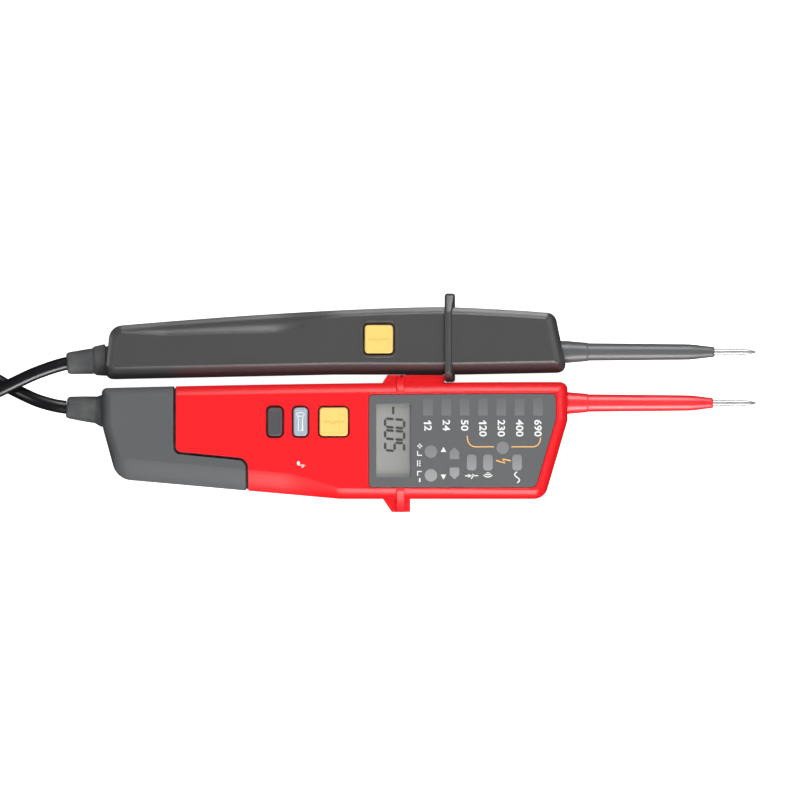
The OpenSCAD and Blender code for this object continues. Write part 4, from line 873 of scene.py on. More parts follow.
# %% Extrude a profile and round its edges
def bevelled(made, width, segments=3):
    """Round the edges that are sharper than 25 degrees, in mm, and re-shade."""
    with editing(made) as work:
        edges = [e for e in work.edges if e.calc_face_angle(0) > radians(25)]
        bmesh.ops.bevel(work, geom=edges, offset=width * MM, segments=segments, profile=0.5, affect="EDGES",
                        clamp_overlap=True)
    shaded(made, 40)


rib_x, rib_t, web_l, block_t = nose_x - 66, 3.3, 5.3, 2.25
rib_back, rib_front = rib_x - rib_t / 2, rib_x + rib_t / 2


def finger_rib(name, side, out, way, web_top):
    """A rib, its web and its block on one side. Way is 1 for the docking side and -1 for the lower one."""
    def turned_to(*points):
        return [(x, side + way * d) for x, d in points]
    rib = [(side + way * d, z) for d, z in ((-4.2, 7.5), (out, 7.5), (out, 22.5), (out / 3, 26.6),
                                            (-1.6, 29.1), (-3.3, 30.2), (-4.2, 30.2))]
    web = turned_to((rib_x, -edge_w), (rib_x, out), (rib_back - web_l + web_l * out / 7.8, out),
                    (rib_back - web_l, 0), (rib_back - web_l, -edge_w))
    ahead = turned_to((rib_x, -edge_w), (rib_front + block_t, -edge_w), (rib_front + block_t, out),
                      (rib_x, out))
    rib_shape = skin([[(x, y, z) for y, z in rib] for x in (rib_back, rib_front)])
    for part, shape, width in (("rib", rib_shape, 0.4), ("web", prism(web, 8.6, web_top), 0.3),
                               ("block", prism(ahead, 10, 20), 0.4)):
        bevelled(piece(f"{name}_{part}", "main_unit", shape, red_plastic, "red_plastic"), width)
    print(name, "stands out", out, "mm")


finger_rib("dock_side", dock_y, 2.82, 1, 24.0)
finger_rib("low_side", low_y, 5.2, -1, 21.4)

# %% The rail that the second unit slides on
rail_x, rail_l, in_y = nose_x - 66 + 1.5 + 0.26 * 2.4, 14.8, dock_y - edge_w
for part, extent, width in (("neck", (rail_x, rail_x + rail_l, in_y, 15.1, 12, 18), 0.35),
                            ("head", (rail_x, rail_x + rail_l, 13.5, 15.3, 10.5, 19.5), 0.35),
                            ("foot", (rail_x - 1, rail_x + rail_l + 0.57, in_y, 11.08, 10.8, 24), 0.12)):
    bevelled(piece("rail_" + part, "main_unit", block(*extent), red_plastic, "red_plastic"), width, 2)

# %% [markdown]
# ## Display panel
# The panel is a flat moulded plate with a window for the display, seven oblong windows for the voltage
# steps, and a few round, arrow-shaped and long ones for the other lamps. The lamps are off, so each window
# only shows its milky light guide, a little paler than the plate.

# %% Windows of the panel
lcd_l, lcd_w = 13.5, 0.78 * panel_w
lcd_mid = Vector((panel_x + 2.9 + lcd_l / 2, panel_y - panel_w / 2 - 0.1))
bar_h = 6.6
bars = [(panel_x + 23.3 + 7.23 * i, panel_y - 5.26) for i in range(7)]


def on_panel(*places):
    """Points given as shares of the panel's length and width."""
    return [(panel_x + u * panel_l, panel_y - v * panel_w) for u, v in places]


rounds = on_panel((0.332, 0.618), (0.332, 0.872), (0.716, 0.577))
arrows = on_panel((0.458, 0.635), (0.458, 0.852))
pills = on_panel((0.55, 0.735), (0.637, 0.735), (0.793, 0.735))
arrow = ((-1.9, -2.35), (1.9, -2.35), (1.9, 0.59), (0, 2.35), (-1.9, 0.59))
step_plans = [oblong(x, y, 3.9, bar_h, 0.3) for x, y in bars]
lamp_plans = [disc(x, y, 2.5) for x, y in rounds] + [oblong(x, y, 3.8, 6.3, 1.25) for x, y in pills]
lamp_plans += [[(x + u, y + v * way, 0.3) for u, v in arrow][::way] for (x, y), way in zip(arrows, (1, -1))]

lcd_window = slab(oblong(*lcd_mid, lcd_l, lcd_w, 0.4),
                  [(panel_floor - 1, 0), (panel_top - 0.25, 0), (panel_top + 0.01, 0.3),
                   (panel_top + 1, 0.3)])
lamp_windows = [slab(plan, [(panel_floor - 1, 0.02), (panel_top + 1, 0.02)])
                for plan in step_plans + lamp_plans]
piece("panel_plate", "main_unit",
      slab(panel_corners, [(panel_floor, 0), (panel_top - 0.15, 0), (panel_top, -0.15)]),
      panel_plastic, "panel_plastic", ("display_panel",), 30, cuts=(lcd_window, joined(*lamp_windows)))

# %% [markdown]
# A light guide is clear plastic with a milky top. Unlit, it takes a little of the panel's grey and is paler
# towards the lower side, at -Y. Its finish fades along Y, for the seven bars over their own length and for
# the other lamps over the stretch of the panel that they share.

# %% Light guides
def light_guide(name, dark, pale, y0, y1):
    """A milky window that fades from dark at y0 to pale at y1."""
    finish = Finish(name)
    fade = finish.node("ShaderNodeMapRange", {"interpolation_type": "SMOOTHSTEP"},
                       {"Value": along(finish, "Y"), "From Min": y0 * MM, "From Max": y1 * MM})
    milk = noise(finish, 1.4, 3)
    return finish.surface(Base_Color=blend(finish, fade * 0.9 + milk * 0.1, dark, pale),
                          Roughness=0.34 + milk * 0.1,
                          Normal=relief(finish, noise(finish, 0.5, 2), 0.004, 0.5), Specular_IOR_Level=0.5)


bar_y = bars[0][1]
step_guide = light_guide("step_guide", paint(108, 108, 109), paint(118, 119, 120), bar_y + bar_h / 2,
                         bar_y - bar_h / 2)
lamp_guide = light_guide("lamp_guide", paint(131, 131, 133), paint(161, 161, 162), -17, -31)
guide_levels = [(21, 0), (panel_top - 0.05, 0), (panel_top - 0.01, -0.06)]
for name, plans, finish, node in (("step_lights", step_plans, step_guide, "voltage_lights"),
                                  ("lamp_lights", lamp_plans, lamp_guide, "signal_lights")):
    piece(name, "main_unit", joined(*(slab(plan, guide_levels) for plan in plans)), finish, "light_guide",
          (node,))
    print(name, "has", len(plans), "windows")

# %% [markdown]
# ## The display
# A liquid crystal display is a glass sandwich over a grey reflector. The dark segments float a hair above
# the reflector. Here they are thin plates on the glass, drawn digit by digit: each digit knows which of its
# seven segments are on, and each segment is a bar with pointed ends.

# %% The glass and its reflector
finish = Finish("display_glass")
fade = finish.node("ShaderNodeMapRange", inputs={"Value": along(finish, "X"),
                                                 "From Min": (lcd_mid.x - 7) * MM,
                                                 "From Max": (lcd_mid.x + 7) * MM})
# The reflector's grey is painted darker towards the nose end: painted shade, with a little random mottle over
# it.
shade_and_mottle = fade * 0.7 + noise(finish, 9, 3) * 0.3
finish.surface(Base_Color=blend(finish, shade_and_mottle, paint(160, 160, 159), paint(136, 136, 135)), Roughness=0.2,
               Normal=relief(finish, noise(finish, 0.6, 2), 0.002, 0.4), Specular_IOR_Level=0.4)
glass_top = panel_floor - 0.1
piece("lcd_sandwich", "main_unit", slab(oblong(*lcd_mid, lcd_l + 1.4, lcd_w + 1.4, 0.3),
                                        [(glass_top - 1.1, 0), (glass_top - 0.1, 0), (glass_top, -0.1)]),
      finish.owner, "display_glass", ("lcd_glass",))


# %% Thin plates for everything printed
def plate(outlines, z, t=0.04):
    """Flat outlines (lists of x, y) as thin plates that start at z."""
    def face_up(o):
        return o if sum(a[0] * b[1] - b[0] * a[1] for a, b in zip(o, o[1:] + o[:1])) > 0 else o[::-1]
    return joined(*(prism(face_up(o), z, z + t) for o in outlines))


def stroke(points, width):
    """The outline of a line of even width through the points."""
    pts = [Vector(p) for p in points]
    sides = []
    for i, p in enumerate(pts):
        d = (pts[min(i + 1, len(pts) - 1)] - pts[max(i - 1, 0)]).normalized()
        before = (p - pts[i - 1]).normalized() if i else d
        sides.append(left(d) * (width / 2 / max(0.5, abs(before.dot(d)))))
    return [tuple(p - s) for p, s in zip(pts, sides)] + [
        tuple(p + s) for p, s in reversed(list(zip(pts, sides)))]


def arc(x, y, r, a0, a1, steps=10):
    return [(x + r * cos(radians(a)), y + r * sin(radians(a))) for a in shares(a0, a1, steps + 1)]


def shifted(points, x, y):
    return [(x + u, y + v) for u, v in points]


# %% Digits of the display, read from the panel's upper side downwards
digit_h, digit_w, seg_t, seg_gap, slant = 7.5, 3.3, 1.0, 0.22, 0.08
mid_h = digit_h / 2
segments = {"a": ((0, digit_h), (digit_w, digit_h)), "b": ((digit_w, digit_h), (digit_w, mid_h)),
            "c": ((digit_w, mid_h), (digit_w, 0)), "d": ((0, 0), (digit_w, 0)), "e": ((0, 0), (0, mid_h)),
            "f": ((0, mid_h), (0, digit_h)), "g": ((0, mid_h), (digit_w, mid_h))}


def digit(lit, x, y):
    """A digit's lit segments. Its foot is at x and its top towards +X; it is read along -Y."""
    made = []
    for a, b in (map(Vector, segments[name]) for name in lit):
        d = (b - a).normalized()
        a, b = a + d * seg_gap, b - d * seg_gap
        side, tip = left(d) * (seg_t / 2), d * (seg_t / 2)
        ring = [a, a + tip + side, b - tip + side, b, b - tip - side, a + tip - side]
        made.append([(x + v, y - (u + slant * v)) for u, v in ring])
    return made


lcd_marks = [stroke([(-7.2, -1.5), (-7.2, -4.4)], 0.9)]
for k, lit in enumerate(("abcdef", "abcdef", "afgcd")):
    lcd_marks += digit(lit, -10.4, -6.1 - 4.6 * k)
finish = Finish("lcd_ink")
uneven = noise(finish, 1.2, 3) * 0.5
finish.surface(Base_Color=blend(finish, uneven, paint(62, 63, 62), paint(92, 93, 91)), Roughness=0.4)
piece("lcd_digits", "main_unit", plate(lcd_marks, glass_top, 0.03), finish.owner, "display_glass")
print("the display shows", len(lcd_marks), "segments")

# %% [markdown]
# ## Printed marks
# The panel carries plain numbers for the voltage steps and small symbols for the lamps, screen printed in
# white, and two in orange. Screen ink stands a few hundredths of a millimetre proud, so thin plates are
# right for it. The numbers use Blender's built-in font, turned to mesh at once: a text object would need
# its font again wherever the part is opened.

# %% White numbers
def ink(name, colour, wear_to):
    """Screen-printed ink: even, slightly matt, worn in small spots."""
    made = Finish(name)
    spots = noise(made, 0.5, 3)
    return made.surface(Base_Color=blend(made, spots ** 4, colour, wear_to), Roughness=0.45 + spots * 0.15,
                        Normal=relief(made, spots, 0.006, 0.5))


def lettering(text, x, y, height, bold=0.08, wide=1.12):
    """Outlined text as thin plates, centred on x, y and read along -Y. Returns points and faces."""
    curve = bpy.data.curves.new("text", "FONT")
    curve.body, curve.size, curve.offset, curve.extrude = text, height / 0.73, bold, 0.02
    curve.align_x, curve.align_y = "CENTER", "CENTER"
    curve.resolution_u = 4
    shown = bpy.data.objects.new("text", curve)
    scene.collection.objects.link(shown)
    bpy.context.view_layer.update()
    mesh = bpy.data.meshes.new_from_object(shown.evaluated_get(bpy.context.evaluated_depsgraph_get()))
    points = [(x + v.co.y, y - v.co.x * wide, panel_top + 0.02 + v.co.z) for v in mesh.vertices]
    faces = [tuple(p.vertices) for p in mesh.polygons]
    bpy.data.objects.remove(shown)
    bpy.data.meshes.remove(mesh)
    return points, faces


def figure_one(x, y, height):
    """A 1 with a flag. The built-in font's own is a bare bar."""
    h = height / 2
    shape = [(0.0, -h), (0.72, -h), (0.72, h), (0.1, h), (-0.75, h - 0.8), (-0.75, h - 1.45), (0.0, h - 0.95)]
    return plate([[(x + v, y - u) for u, v in shape]], panel_top)


white_ink = ink("white_ink", paint(240, 240, 238), paint(200, 200, 200))
orange_ink = ink("orange_ink", paint(246, 190, 120), paint(220, 160, 96))
numbers = ["12", "24", "50", "120", "230", "400", "690"]
number_top, pitch = -6.5, 2.26
white_marks = []
for (x, _), text in zip(bars, numbers):
    for i, figure in enumerate(text):
        spot = (x - 0.15, number_top - pitch * (i + 0.5))
        white_marks.append(figure_one(*spot, 3.0) if figure == "1" else lettering(figure, *spot, 2.9))
piece("printed_numbers", "main_unit", joined(*white_marks), white_ink, crease=40)
print("printed", len(numbers), "numbers")

# %% White symbols
thin, thick = 0.42, 0.6
symbols = [stroke(line, thick) for line in (((3.25, -16.0), (3.25, -17.9)), ((2.3, -16.95), (4.2, -16.95)),
                                            ((3.25, -29.6), (3.25, -31.2)))]
symbols += [stroke(line, thin) for line in (
    ((2.4, -18.9), (2.4, -20.6), (4.1, -20.6)), ((2.4, -22.6), (2.4, -25.0)), ((3.3, -22.6), (3.3, -23.2)),
    ((3.3, -23.5), (3.3, -24.1)), ((3.3, -24.4), (3.3, -25.0)), ((2.4, -28.7), (2.4, -27.0), (4.1, -27.0)))]
symbols += [[(11.5, -19.3), (13.7, -19.3), (12.6, -17.3)], [(11.5, -28.2), (13.7, -28.2), (12.6, -30.2)]]
probe_x, sound_x, wave_x = (x for x, _ in pills)
symbols += [shifted(part, probe_x, -28.7) for part in (
    stroke([(-2.6, 0), (-1.2, 0)], 0.5), [(-1.4, 0.75), (-1.4, -0.75), (0.1, 0)],
    stroke([(-0.2, -1.2), (0.5, -0.1), (1.2, 0)], 0.45), stroke([(0.2, 0.7), (0.9, 0.1), (2.6, 0)], 0.45))]
symbols += [stroke(arc(sound_x, -27.0, r, -142, -38), thin) for r in (0.5, 1.35, 2.2)]
symbols.append(stroke([(wave_x - 0.95 * sin(2 * pi * t / 16), -27.1 - 4.4 * t / 16) for t in range(17)], 0.5))
piece("printed_symbols", "main_unit", plate(symbols, panel_top), white_ink, crease=40)
print("printed", len(symbols), "strokes")

# %% A note on the casing: the tester beeps
note = [[(-1.0 + 0.62 * sin(radians(a)), 0.55 + 0.85 * cos(radians(a))) for a in range(0, 360, 24)],
        stroke([(-1.0, -0.2), (1.6, -0.2)], 0.3), stroke([(1.6, -0.1), (0.9, -0.75), (0.2, -1.1)], 0.4)]
note_at = (-43.6, -24.3)
piece("printed_note", "main_unit", plate([shifted(part, *note_at) for part in note], main_h - 0.01),
      white_ink, crease=40)
print("the note stands at", note_at)

# %% Orange lines and the lightning sign
lamp_x, lamp_y = rounds[2]
bracket_y, lamp_gap, line_w, bolt_at = -17.26, 3.4, 0.45, (36.2, -22.8)
left_turn = [(21.9, -12.9), *arc(25.3, bracket_y + 3.2, 3.2, 185, 268, 8), (lamp_x - lamp_gap, bracket_y)]
right_turn = [(lamp_x + lamp_gap, bracket_y), *arc(47.8, bracket_y + 3.0, 3.0, -88, -5, 8), (50.9, -13.6)]
lightning = [[(-3.0, -0.1), (0.6, -1.1), (0.75, -0.75), (-2.7, 0.45)],
             [(0.75, -1.0), (0.75, -0.6), (-0.35, 1.0), (-0.6, 0.7)],
             [(-0.45, 1.0), (-0.3, 0.45), (3.0, -0.25), (3.0, 0.3)]]
orange_marks = [stroke(turn, line_w) for turn in (left_turn, right_turn)]
orange_marks += [shifted(part, *bolt_at) for part in lightning]
piece("printed_orange", "main_unit", plate(orange_marks, panel_top), orange_ink, crease=40)
print("the bracket leads to the lamp at", round(lamp_x, 1), round(lamp_y, 1))

# %% [markdown]
# ## Keys
# Each key cap has a soft rim and a shallow dished top, so the thumb finds it. The two yellow test keys
# carry a raised line with a kink, the sign for a make contact; the pale blue one carries a torch. Under each
# cap its flange is hidden by the casing. In the gap round it lies a thin ring of painted shade, dark red in
# the red casing and black in the dark one, which stays with the casing when the key goes down.

# %% Key caps with a dished top, and the rings of painted shade round them
proud, dish = 1.0, 0.16
for name, node, unit, finish, slot, shade_ring_finish in (
        ("test", "test_button", "main_unit", yellow_plastic, "yellow_button", painted_shade_red),
        ("second", "aux_button", "second_unit", yellow_plastic, "yellow_button", painted_shade_black),
        ("torch", "torch_button", "main_unit", blue_plastic, "torch_button_plastic", painted_shade_red),
        ("hold", "hold_button", "main_unit", hold_plastic, "hold_button_plastic", painted_shade_red)):
    casing_z = keys[name][3]
    under, top, shade_ring_z = casing_z - 2.1, casing_z + proud, casing_z - 0.9
    levels = [(under - 1.9, 0.9), (under, 0.9), (under + 0.01, 0), (top - 0.8, 0), (top - 0.4, -0.06),
              (top - 0.16, -0.2), (top - 0.04, -0.42), (top, -0.7), (top - 0.02, -0.95), (top - 0.1, -1.2),
              (top - dish, -1.39)]
    piece(name + "_key_cap", name + "_key", slab(key_plan(name), levels, 8), finish, slot, (node,), 50)
    shade_ring_levels = ((0.06, shade_ring_z - 0.9), (0.06, shade_ring_z), (key_gap - 0.02, shade_ring_z),
                   (key_gap - 0.02, shade_ring_z - 0.9))
    # The dark ring in the gap is painted shade, where the gap's shadow falls.
    piece(name + "_key_shade_ring", unit,
          hoop([at(rounded_plan(key_plan(name), grow, 8), z) for grow, z in shade_ring_levels]),
          shade_ring_finish, "black_plastic")
    print(name, "key stands", proud, "mm proud")

# %% Signs on the keys
yellow_sign = ink("yellow_sign", (0.80, 0.50, 0.10, 1), (0.9, 0.6, 0.12, 1))
kink = [(-4.0, 0), (-1.1, 0), (-0.1, -1.0), (0.6, -0.1), (1.3, 0), (4.0, 0)]
torch = [[(-1.65, 3.2), (-1.0, 2.2), (1.0, 2.2), (1.65, 3.2), (0.9, 3.55), (0, 3.65), (-0.9, 3.55),
          (-1.65, 3.2)],
         [(-1.15, 1.95), (-0.8, 1.0), (-0.8, -3.5), (0.8, -3.5), (0.8, 1.0), (1.15, 1.95)]]
for name, lines, width, t, finish in (("test", [kink], 0.3, 0.1, yellow_sign),
                                      ("second", [kink], 0.3, 0.1, yellow_sign),
                                      ("torch", torch, 0.34, 0.08, white_ink)):
    x, y, _, top = keys[name]
    shape = plate([stroke(shifted(line, x, y), width) for line in lines], top + proud - dish, t)
    piece(name + "_key_sign", name + "_key", shape, finish)

# %% [markdown]
# ## The second unit's casing
# It is slimmer, and all its faces meet in soft lines: a slope along the docking side, a narrow band along
# the outer side that widens into a grip by the same S-curve, and a sloped nose. The same skin method serves,
# with each side's own width.

# %% Corner points of the second casing
low2, second_l = dock_y + 2.9, 182.8
crest_y, crest_x = low2 + 26.7, nose_x - 50.5
nose2_low, nose2_top = Vector((nose_x, low2 + 0.8)), Vector((nose_x - 4.9, crest_y - 2.4))
rear2_top = Vector((nose_x - second_l + 2.2, crest_y - 7.6))
rear2_low = Vector((nose_x - second_l, low2 - 1.9))
dock2_back, dock2_front = Vector((nose_x - 0.5 * second_l, low2)), Vector((nose_x - 0.23 * second_l, low2))
z2, top2, side2 = 4.0, 27.0, 20.5
nose2_w, side2_w, rear2_w, slope2_w, back2_w = 3.2, 1.8, 2.2, 4.2, 3.0  # widths of the edge on each side
grip2_x, grip2_fade, grip2_w, grip2_end_w = -27.5, 26.0, 6.6, 3.6
bent, tall = 0.758, 0.97  # 1 - cos and sin of the 76 degrees that the top band turns through


def side2_y(x):
    """The outer side, bowed to a crest."""
    if x > crest_x:
        return crest_y - 2.4 * ((x - crest_x) / (nose2_top.x - crest_x)) ** 1.4
    return crest_y - 7.6 * ((crest_x - x) / (crest_x - rear2_top.x)) ** 1.5


def grip2(x):
    """How much wider than the band the grip is there."""
    x1 = grip2_x - grip2_fade
    full = grip2_w + (grip2_end_w - grip2_w) * max(0.0, x1 - x) / (x1 - (nose_x - second_l))
    return (full - side2_w) * eased((grip2_x - x) / grip2_fade)


def second_ring(back, top, grip=0.0, inner=0.0, lip=0.0):
    """The second casing's outline, with a share of its back edge, of its top edge and of its grip."""
    def side_point(share):
        x = nose2_top.x + (rear2_top.x - nose2_top.x) * share
        return Vector((x, side2_y(x)))

    def r(full, inset):
        return max(full - inset, 0.8)
    inset = back * back2_w + inner
    x0 = crest_x + (nose2_top.x - crest_x) * 2 / 3
    front = Vector((x0, side2_y(x0)))
    late = max(0.0, (top - 0.53) / 0.47)  # the outer side stays upright for the first half of the band
    height = (1 - (1 - bent * top) ** 2) ** 0.5 / tall
    in_nose = inset + lip + nose2_w * top
    in_side, in_rear = inset + lip + side2_w * late, inset + lip + rear2_w * late
    in_low = inset + max(0.02 * lip, lip - 0.2) + slope2_w * (0.75 * height + 0.25 * top)
    ring = corner(dock2_front, nose2_low, nose2_top, in_low, in_nose, r(3.2, in_nose), 8)
    ring += corner(nose2_low, nose2_top, front, in_nose, in_side, r(4, in_nose), 8)
    ring += [Vector((x, side2_y(x) - in_side - grip * grip2(x)))
             for x in shares(x0 + 6, side_point(0.88).x, 60)]
    ring += corner(side_point(0.94), rear2_top, rear2_low, in_rear, in_rear, r(5.5, in_rear), 8)
    ring += corner(rear2_top, rear2_low, dock2_back, in_rear, in_low, r(3, in_rear), 8)
    return ring + [dock2_back + (dock2_front - dock2_back) * t + Vector((0, in_low)) for t in shares(0, 1, 8)]


def lowered(ring, z, share=1.0):
    """The outline at a height, a little lower along the grip, which is hollowed towards the outer side."""
    drop = [share * 0.35 * grip2(p.x) if 18 <= i < 78 else 0.0 for i, p in enumerate(ring)]
    return [(p.x, p.y, z - 0.01 - d) for p, d in zip(ring, drop)]


second_low = [at(second_ring(s, 0), z) for z, s, _ in reversed(band(z2 + 4.5, z2, 70))]
lip_h = 0.42
second_high = [lowered(second_ring(0, s), z) for z, s, _ in band(side2, top2 - lip_h, 76)]
second_high += [lowered(second_ring(0, 1.01, g), top2 - lip_h + 0.01, 1 - g * g) for g in (0.25, 0.5, 0.75)]
second_high += [at(second_ring(0, 1.01, 1.0, lip=w), top2 - h)
                for w, h in ((0, lip_h), (0.2, lip_h), (0.75, 0))]
second_rings = second_low + second_high
print("the second casing runs through", len(second_rings), "outlines of", len(second_rings[0]), "points")

# %% Its two halves
second_screws = [(-106.7, 20.1), (51.8, 30.1)]
slot_x0, slot_x1 = rail_x - 15.3, rail_x + rail_l + 0.3
slots = ((slot_x0, slot_x1, low2 - 1, low2 + 2.1, 11.7, 18.3),
         (slot_x0, slot_x0 + rail_l + 0.6, low2 - 1, low2 + 2.1, 10.2, 19.8))


def second_core(*levels):
    """A skin inside the second casing's wall, at (height, back, top, grip)."""
    return skin([at(second_ring(back, top, grip, wall), z) for z, back, top, grip in levels])


front_core = second_core((axis_z - 1, 0, 0, 0), (side2, 0, 0, 0), (side2 + 0.01, 0, 1, 1),
                         (top2 - wall - 1, 0, 1, 1))
back_core = second_core((z2 + wall, 1, 0, 0), (z2 + 4.49, 1, 0, 0), (z2 + 4.5, 0, 0, 0),
                        (axis_z + 1, 0, 0, 0))
for side, rings, cuts in (
        ("front", [at(second_ring(0, 0), axis_z + split)] + second_high, (front_core, key_hole("second"))),
        ("back", second_low + [at(second_ring(0, 0), axis_z - split)],
         (back_core, screw_wells(second_screws, z2)))):
    piece(f"second_{side}_casing", "second_unit", skin(rings), dark_plastic, "dark_plastic",
          (f"aux_{side}_shell",), 14, cuts=(*cuts, *(block(*slot) for slot in slots)))

# %% A raised frame round its key
frame_levels = ((1.2, -0.3), (1.2, 0.12), (1.32, 0.22), (1.6, 0.22), (1.75, 0.1), (1.75, -0.3))
piece("second_key_frame", "second_unit",
      hoop([at(rounded_plan(key_plan("second"), grow, 6), top2 + rise_by) for grow, rise_by in frame_levels]),
      dark_plastic, "dark_plastic")

# %% [markdown]
# ## Finger guard
# The second unit has its own finger guard, a ring that is thickest at mid height, so that it feels rounded
# between two fingers. It is one profile pulled along X, cut to a lens shape from the side, and the casing
# is taken out of it, so the two fit without a gap.

# %% The guard, cut out by the casing
guard_x, guard_t, ridge_t, guard_out = rail_x + rail_l + 0.6, 4.1, 2.3, 5.4
guard_top, guard_low_y, guard_z0, guard_z1 = crest_y + guard_out, dock_y - 0.04, 1.8, 29.4
cut = guard_out * 1.4
profile = [(guard_low_y, guard_z1 - cut * 0.7, 1.2), (guard_low_y, guard_z0 + cut, 1.2),
           (guard_low_y + cut / 2, guard_z0, 1.2), (guard_top - cut, guard_z0, 2.5),
           (guard_top, guard_z0 + cut, 2.5), (guard_top, guard_z1 - cut * 0.7, 2.5),
           (guard_top - cut, guard_z1, 2.5), (guard_low_y + cut / 2, guard_z1, 1.2)]
waist = [(0.0, -0.9), (0.12, -0.5), (0.4, -0.18), (0.85, 0.0)]
waist += [(guard_t - d, grow) for d, grow in reversed(waist)]
quarter = (guard_z1 - guard_z0) / 4
lens = rounded_plan([(guard_x + d, z, r) for d, z, r in (
    (-1, guard_z0, 0), (ridge_t, guard_z0, 1.2), (guard_t, guard_z0 + quarter, 3),
    (guard_t, guard_z1 - quarter, 3), (ridge_t, guard_z1, 1.2), (-1, guard_z1, 0))])
piece("finger_guard_ring", "second_unit",
      skin([[(guard_x + d, p.x, p.y) for p in rounded_plan(profile, grow)] for d, grow in waist]),
      dark_plastic, "dark_plastic", ("finger_guard",), 24,
      within=skin([[(p.x, y, p.y) for p in lens] for y in (0, 60)]),
      cuts=(skin(second_rings),))

# %% [markdown]
# ## Probes and glands
# Everything round on the tester is a turned shape: a list of distances and radii along an axis. The sleeves
# taper towards the tips and end in a soft mouth; the tips are thinner inside the sleeve; the glands are
# cones of rubber with a collar that hides the hole in the wall.

# %% Turn a profile about an axis
def turned(profile, base, way, sides=40):
    """A shape of (distance, radius) turned about the line from base along way."""
    way = Vector(way).normalized()
    side = way.orthogonal().normalized()
    return skin([circle(Vector(base) + d * way, side, way.cross(side), r, sides) for d, r in profile])


def softened(profile, r, steps=4):
    """The same profile with every inner corner rounded by about r."""
    out = [profile[0]]
    for i in range(1, len(profile) - 1):
        a, v, b = (Vector(profile[i + k]) for k in (-1, 0, 1))
        p, q = (v + (end - v).normalized() * min(r, (end - v).length * 0.45) for end in (a, b))
        out += [tuple((1 - t) ** 2 * p + 2 * t * (1 - t) * v + t * t * q) for t in shares(0, 1, steps + 1)]
    return out + [profile[-1]]


# %% Sleeves and steel tips
tip_out, tip_r, second_probe_y = 74.8, 1.17, dock_y + 11.9
for unit, kind, y, inner, mouth_d, finish, slot in (
        ("main", "", 0.0, 2.1, 57.7, glossy_red, "red_plastic"),
        ("second", "aux_", second_probe_y, 3.7, 58.3, glossy_dark, "dark_plastic")):
    base = (nose_x, y, axis_z)
    sleeve = [(-inner - 2, 0.9), (-inner - 2, 5.4), (-inner, 5.4), (-inner, 4.35), (0.6, 4.35), (1.0, 4.25),
              (8.0, 3.675), (8.2, 3.45), (30, 3.25), (44, 3.12), (48.2, 3.05), (51, 2.8), (54, 2.42),
              (mouth_d - 0.5, 2.02), (mouth_d, 1.8), (mouth_d, 1.24), (mouth_d - 2.0, 1.22)]
    tip = [(-inner - 8, 0.6), (-inner - 8, 0.84), (56.8, 0.84), (56.8, tip_r), (66.0, tip_r), (66.3, 0.98),
           (66.7, 0.98), (67.0, tip_r), (69.3, tip_r), (70.9, 1.08), (72.2, 0.9), (73.2, 0.68), (74.0, 0.45),
           (74.5, 0.26), (tip_out, 0.05)]
    piece(unit + "_sleeve", unit + "_unit", turned(softened(sleeve, 0.3), base, (1, 0, 0)), finish, slot,
          (kind + "probe_sleeve",), 50)
    piece(unit + "_tip", unit + "_unit", turned(tip, base, (1, 0, 0), 32), steel, "steel",
          (kind + "probe_tip",), 35)
    print(unit, "sleeve ends at x", nose_x + mouth_d, "and its tip at", nose_x + tip_out)

# %% Glands
main_collar = [(-1.5, 6.1), (-0.3, 6.5), (0.3, 6.4), (1.1, 5.95), (2.0, 5.55), (2.5, 5.35), (2.8, 5.2),
               (3.1, 5.3), (7.5, 4.95)]
second_collar = [(0.3, 6.3), (1.4, 6.2), (4.6, 5.75), (5.4, 5.15), (5.8, 4.95), (6.2, 5.05), (9.0, 4.85)]
for unit, kind, base, way, length, collar in (
        ("main", "", main_gland_at, main_gland_way, gland_l, main_collar),
        ("second", "aux_", second_gland_at, second_gland_way, second_gland_l, second_collar)):
    gland = [(-3.2, 3.0), (-3.2, 4.4), (-1.6, 5.4), (collar[0][0] - 0.05, 5.4), *collar, (length - 1.9, 4.45),
             (length - 0.7, 4.25), (length, 3.6), (length, 2.7), (length - 1, 2.65)]
    piece(unit + "_gland", unit + "_unit", turned(softened(gland, 0.35), base, way), gland_rubber,
          "gland_rubber", (kind + "cord_gland",), 50)
    print(unit, "gland is", length, "mm long")

# %% [markdown]
# ## What the picture doesn't show
# The back has the battery door, with grip lines for the thumb, and the screws. Inside are two AAA cells on
# coil springs. They show from below and when the door is off.

# %% Battery door
lid_screw_x, line_pitch = 3.1, 1.8
door_plan = box_plan(door_x0 + 0.2, door_x1 - 0.2, door_y0 + 0.2, door_y1 - 0.2, 0.8)
lines_x = [-49.5 + line_pitch * i for i in range(5)]
grip_lines = [block(x, x + 0.8, door_mid_y - 8, door_mid_y + 8, -1, 0.5) for x in lines_x]
screw_hole = slab(disc(lid_screw_x, door_mid_y, 2.4), [(-1, 0), (1.1, 0)], 8)
piece("battery_lid_plate", "battery_lid", slab(door_plan, [(0.0, -0.3), (0.25, 0), (1.9, 0)]), red_plastic,
      "red_plastic", ("battery_door",), 30, cuts=(joined(*grip_lines), screw_hole))
print("the lid has", len(grip_lines), "grip lines")


# %% Screws with a cross recess
def screw(name, body, places, z, length, node):
    head = [(0, 0.6), (0, 1.7), (0.35, 2.15), (1.5, 2.2), (1.8, 2.1), (1.8, 1.2), (length, 1.2)]
    cross = [block(x - u, x + u, y - v, y + v, z - 1, z + 0.9)
             for x, y in places for u, v in ((1.35, 0.3), (0.3, 1.35))]
    piece(name, body, joined(*(turned(head, (x, y, z), (0, 0, 1), 28) for x, y in places)), screw_steel,
          "steel", (node,), 35, cuts=cross)


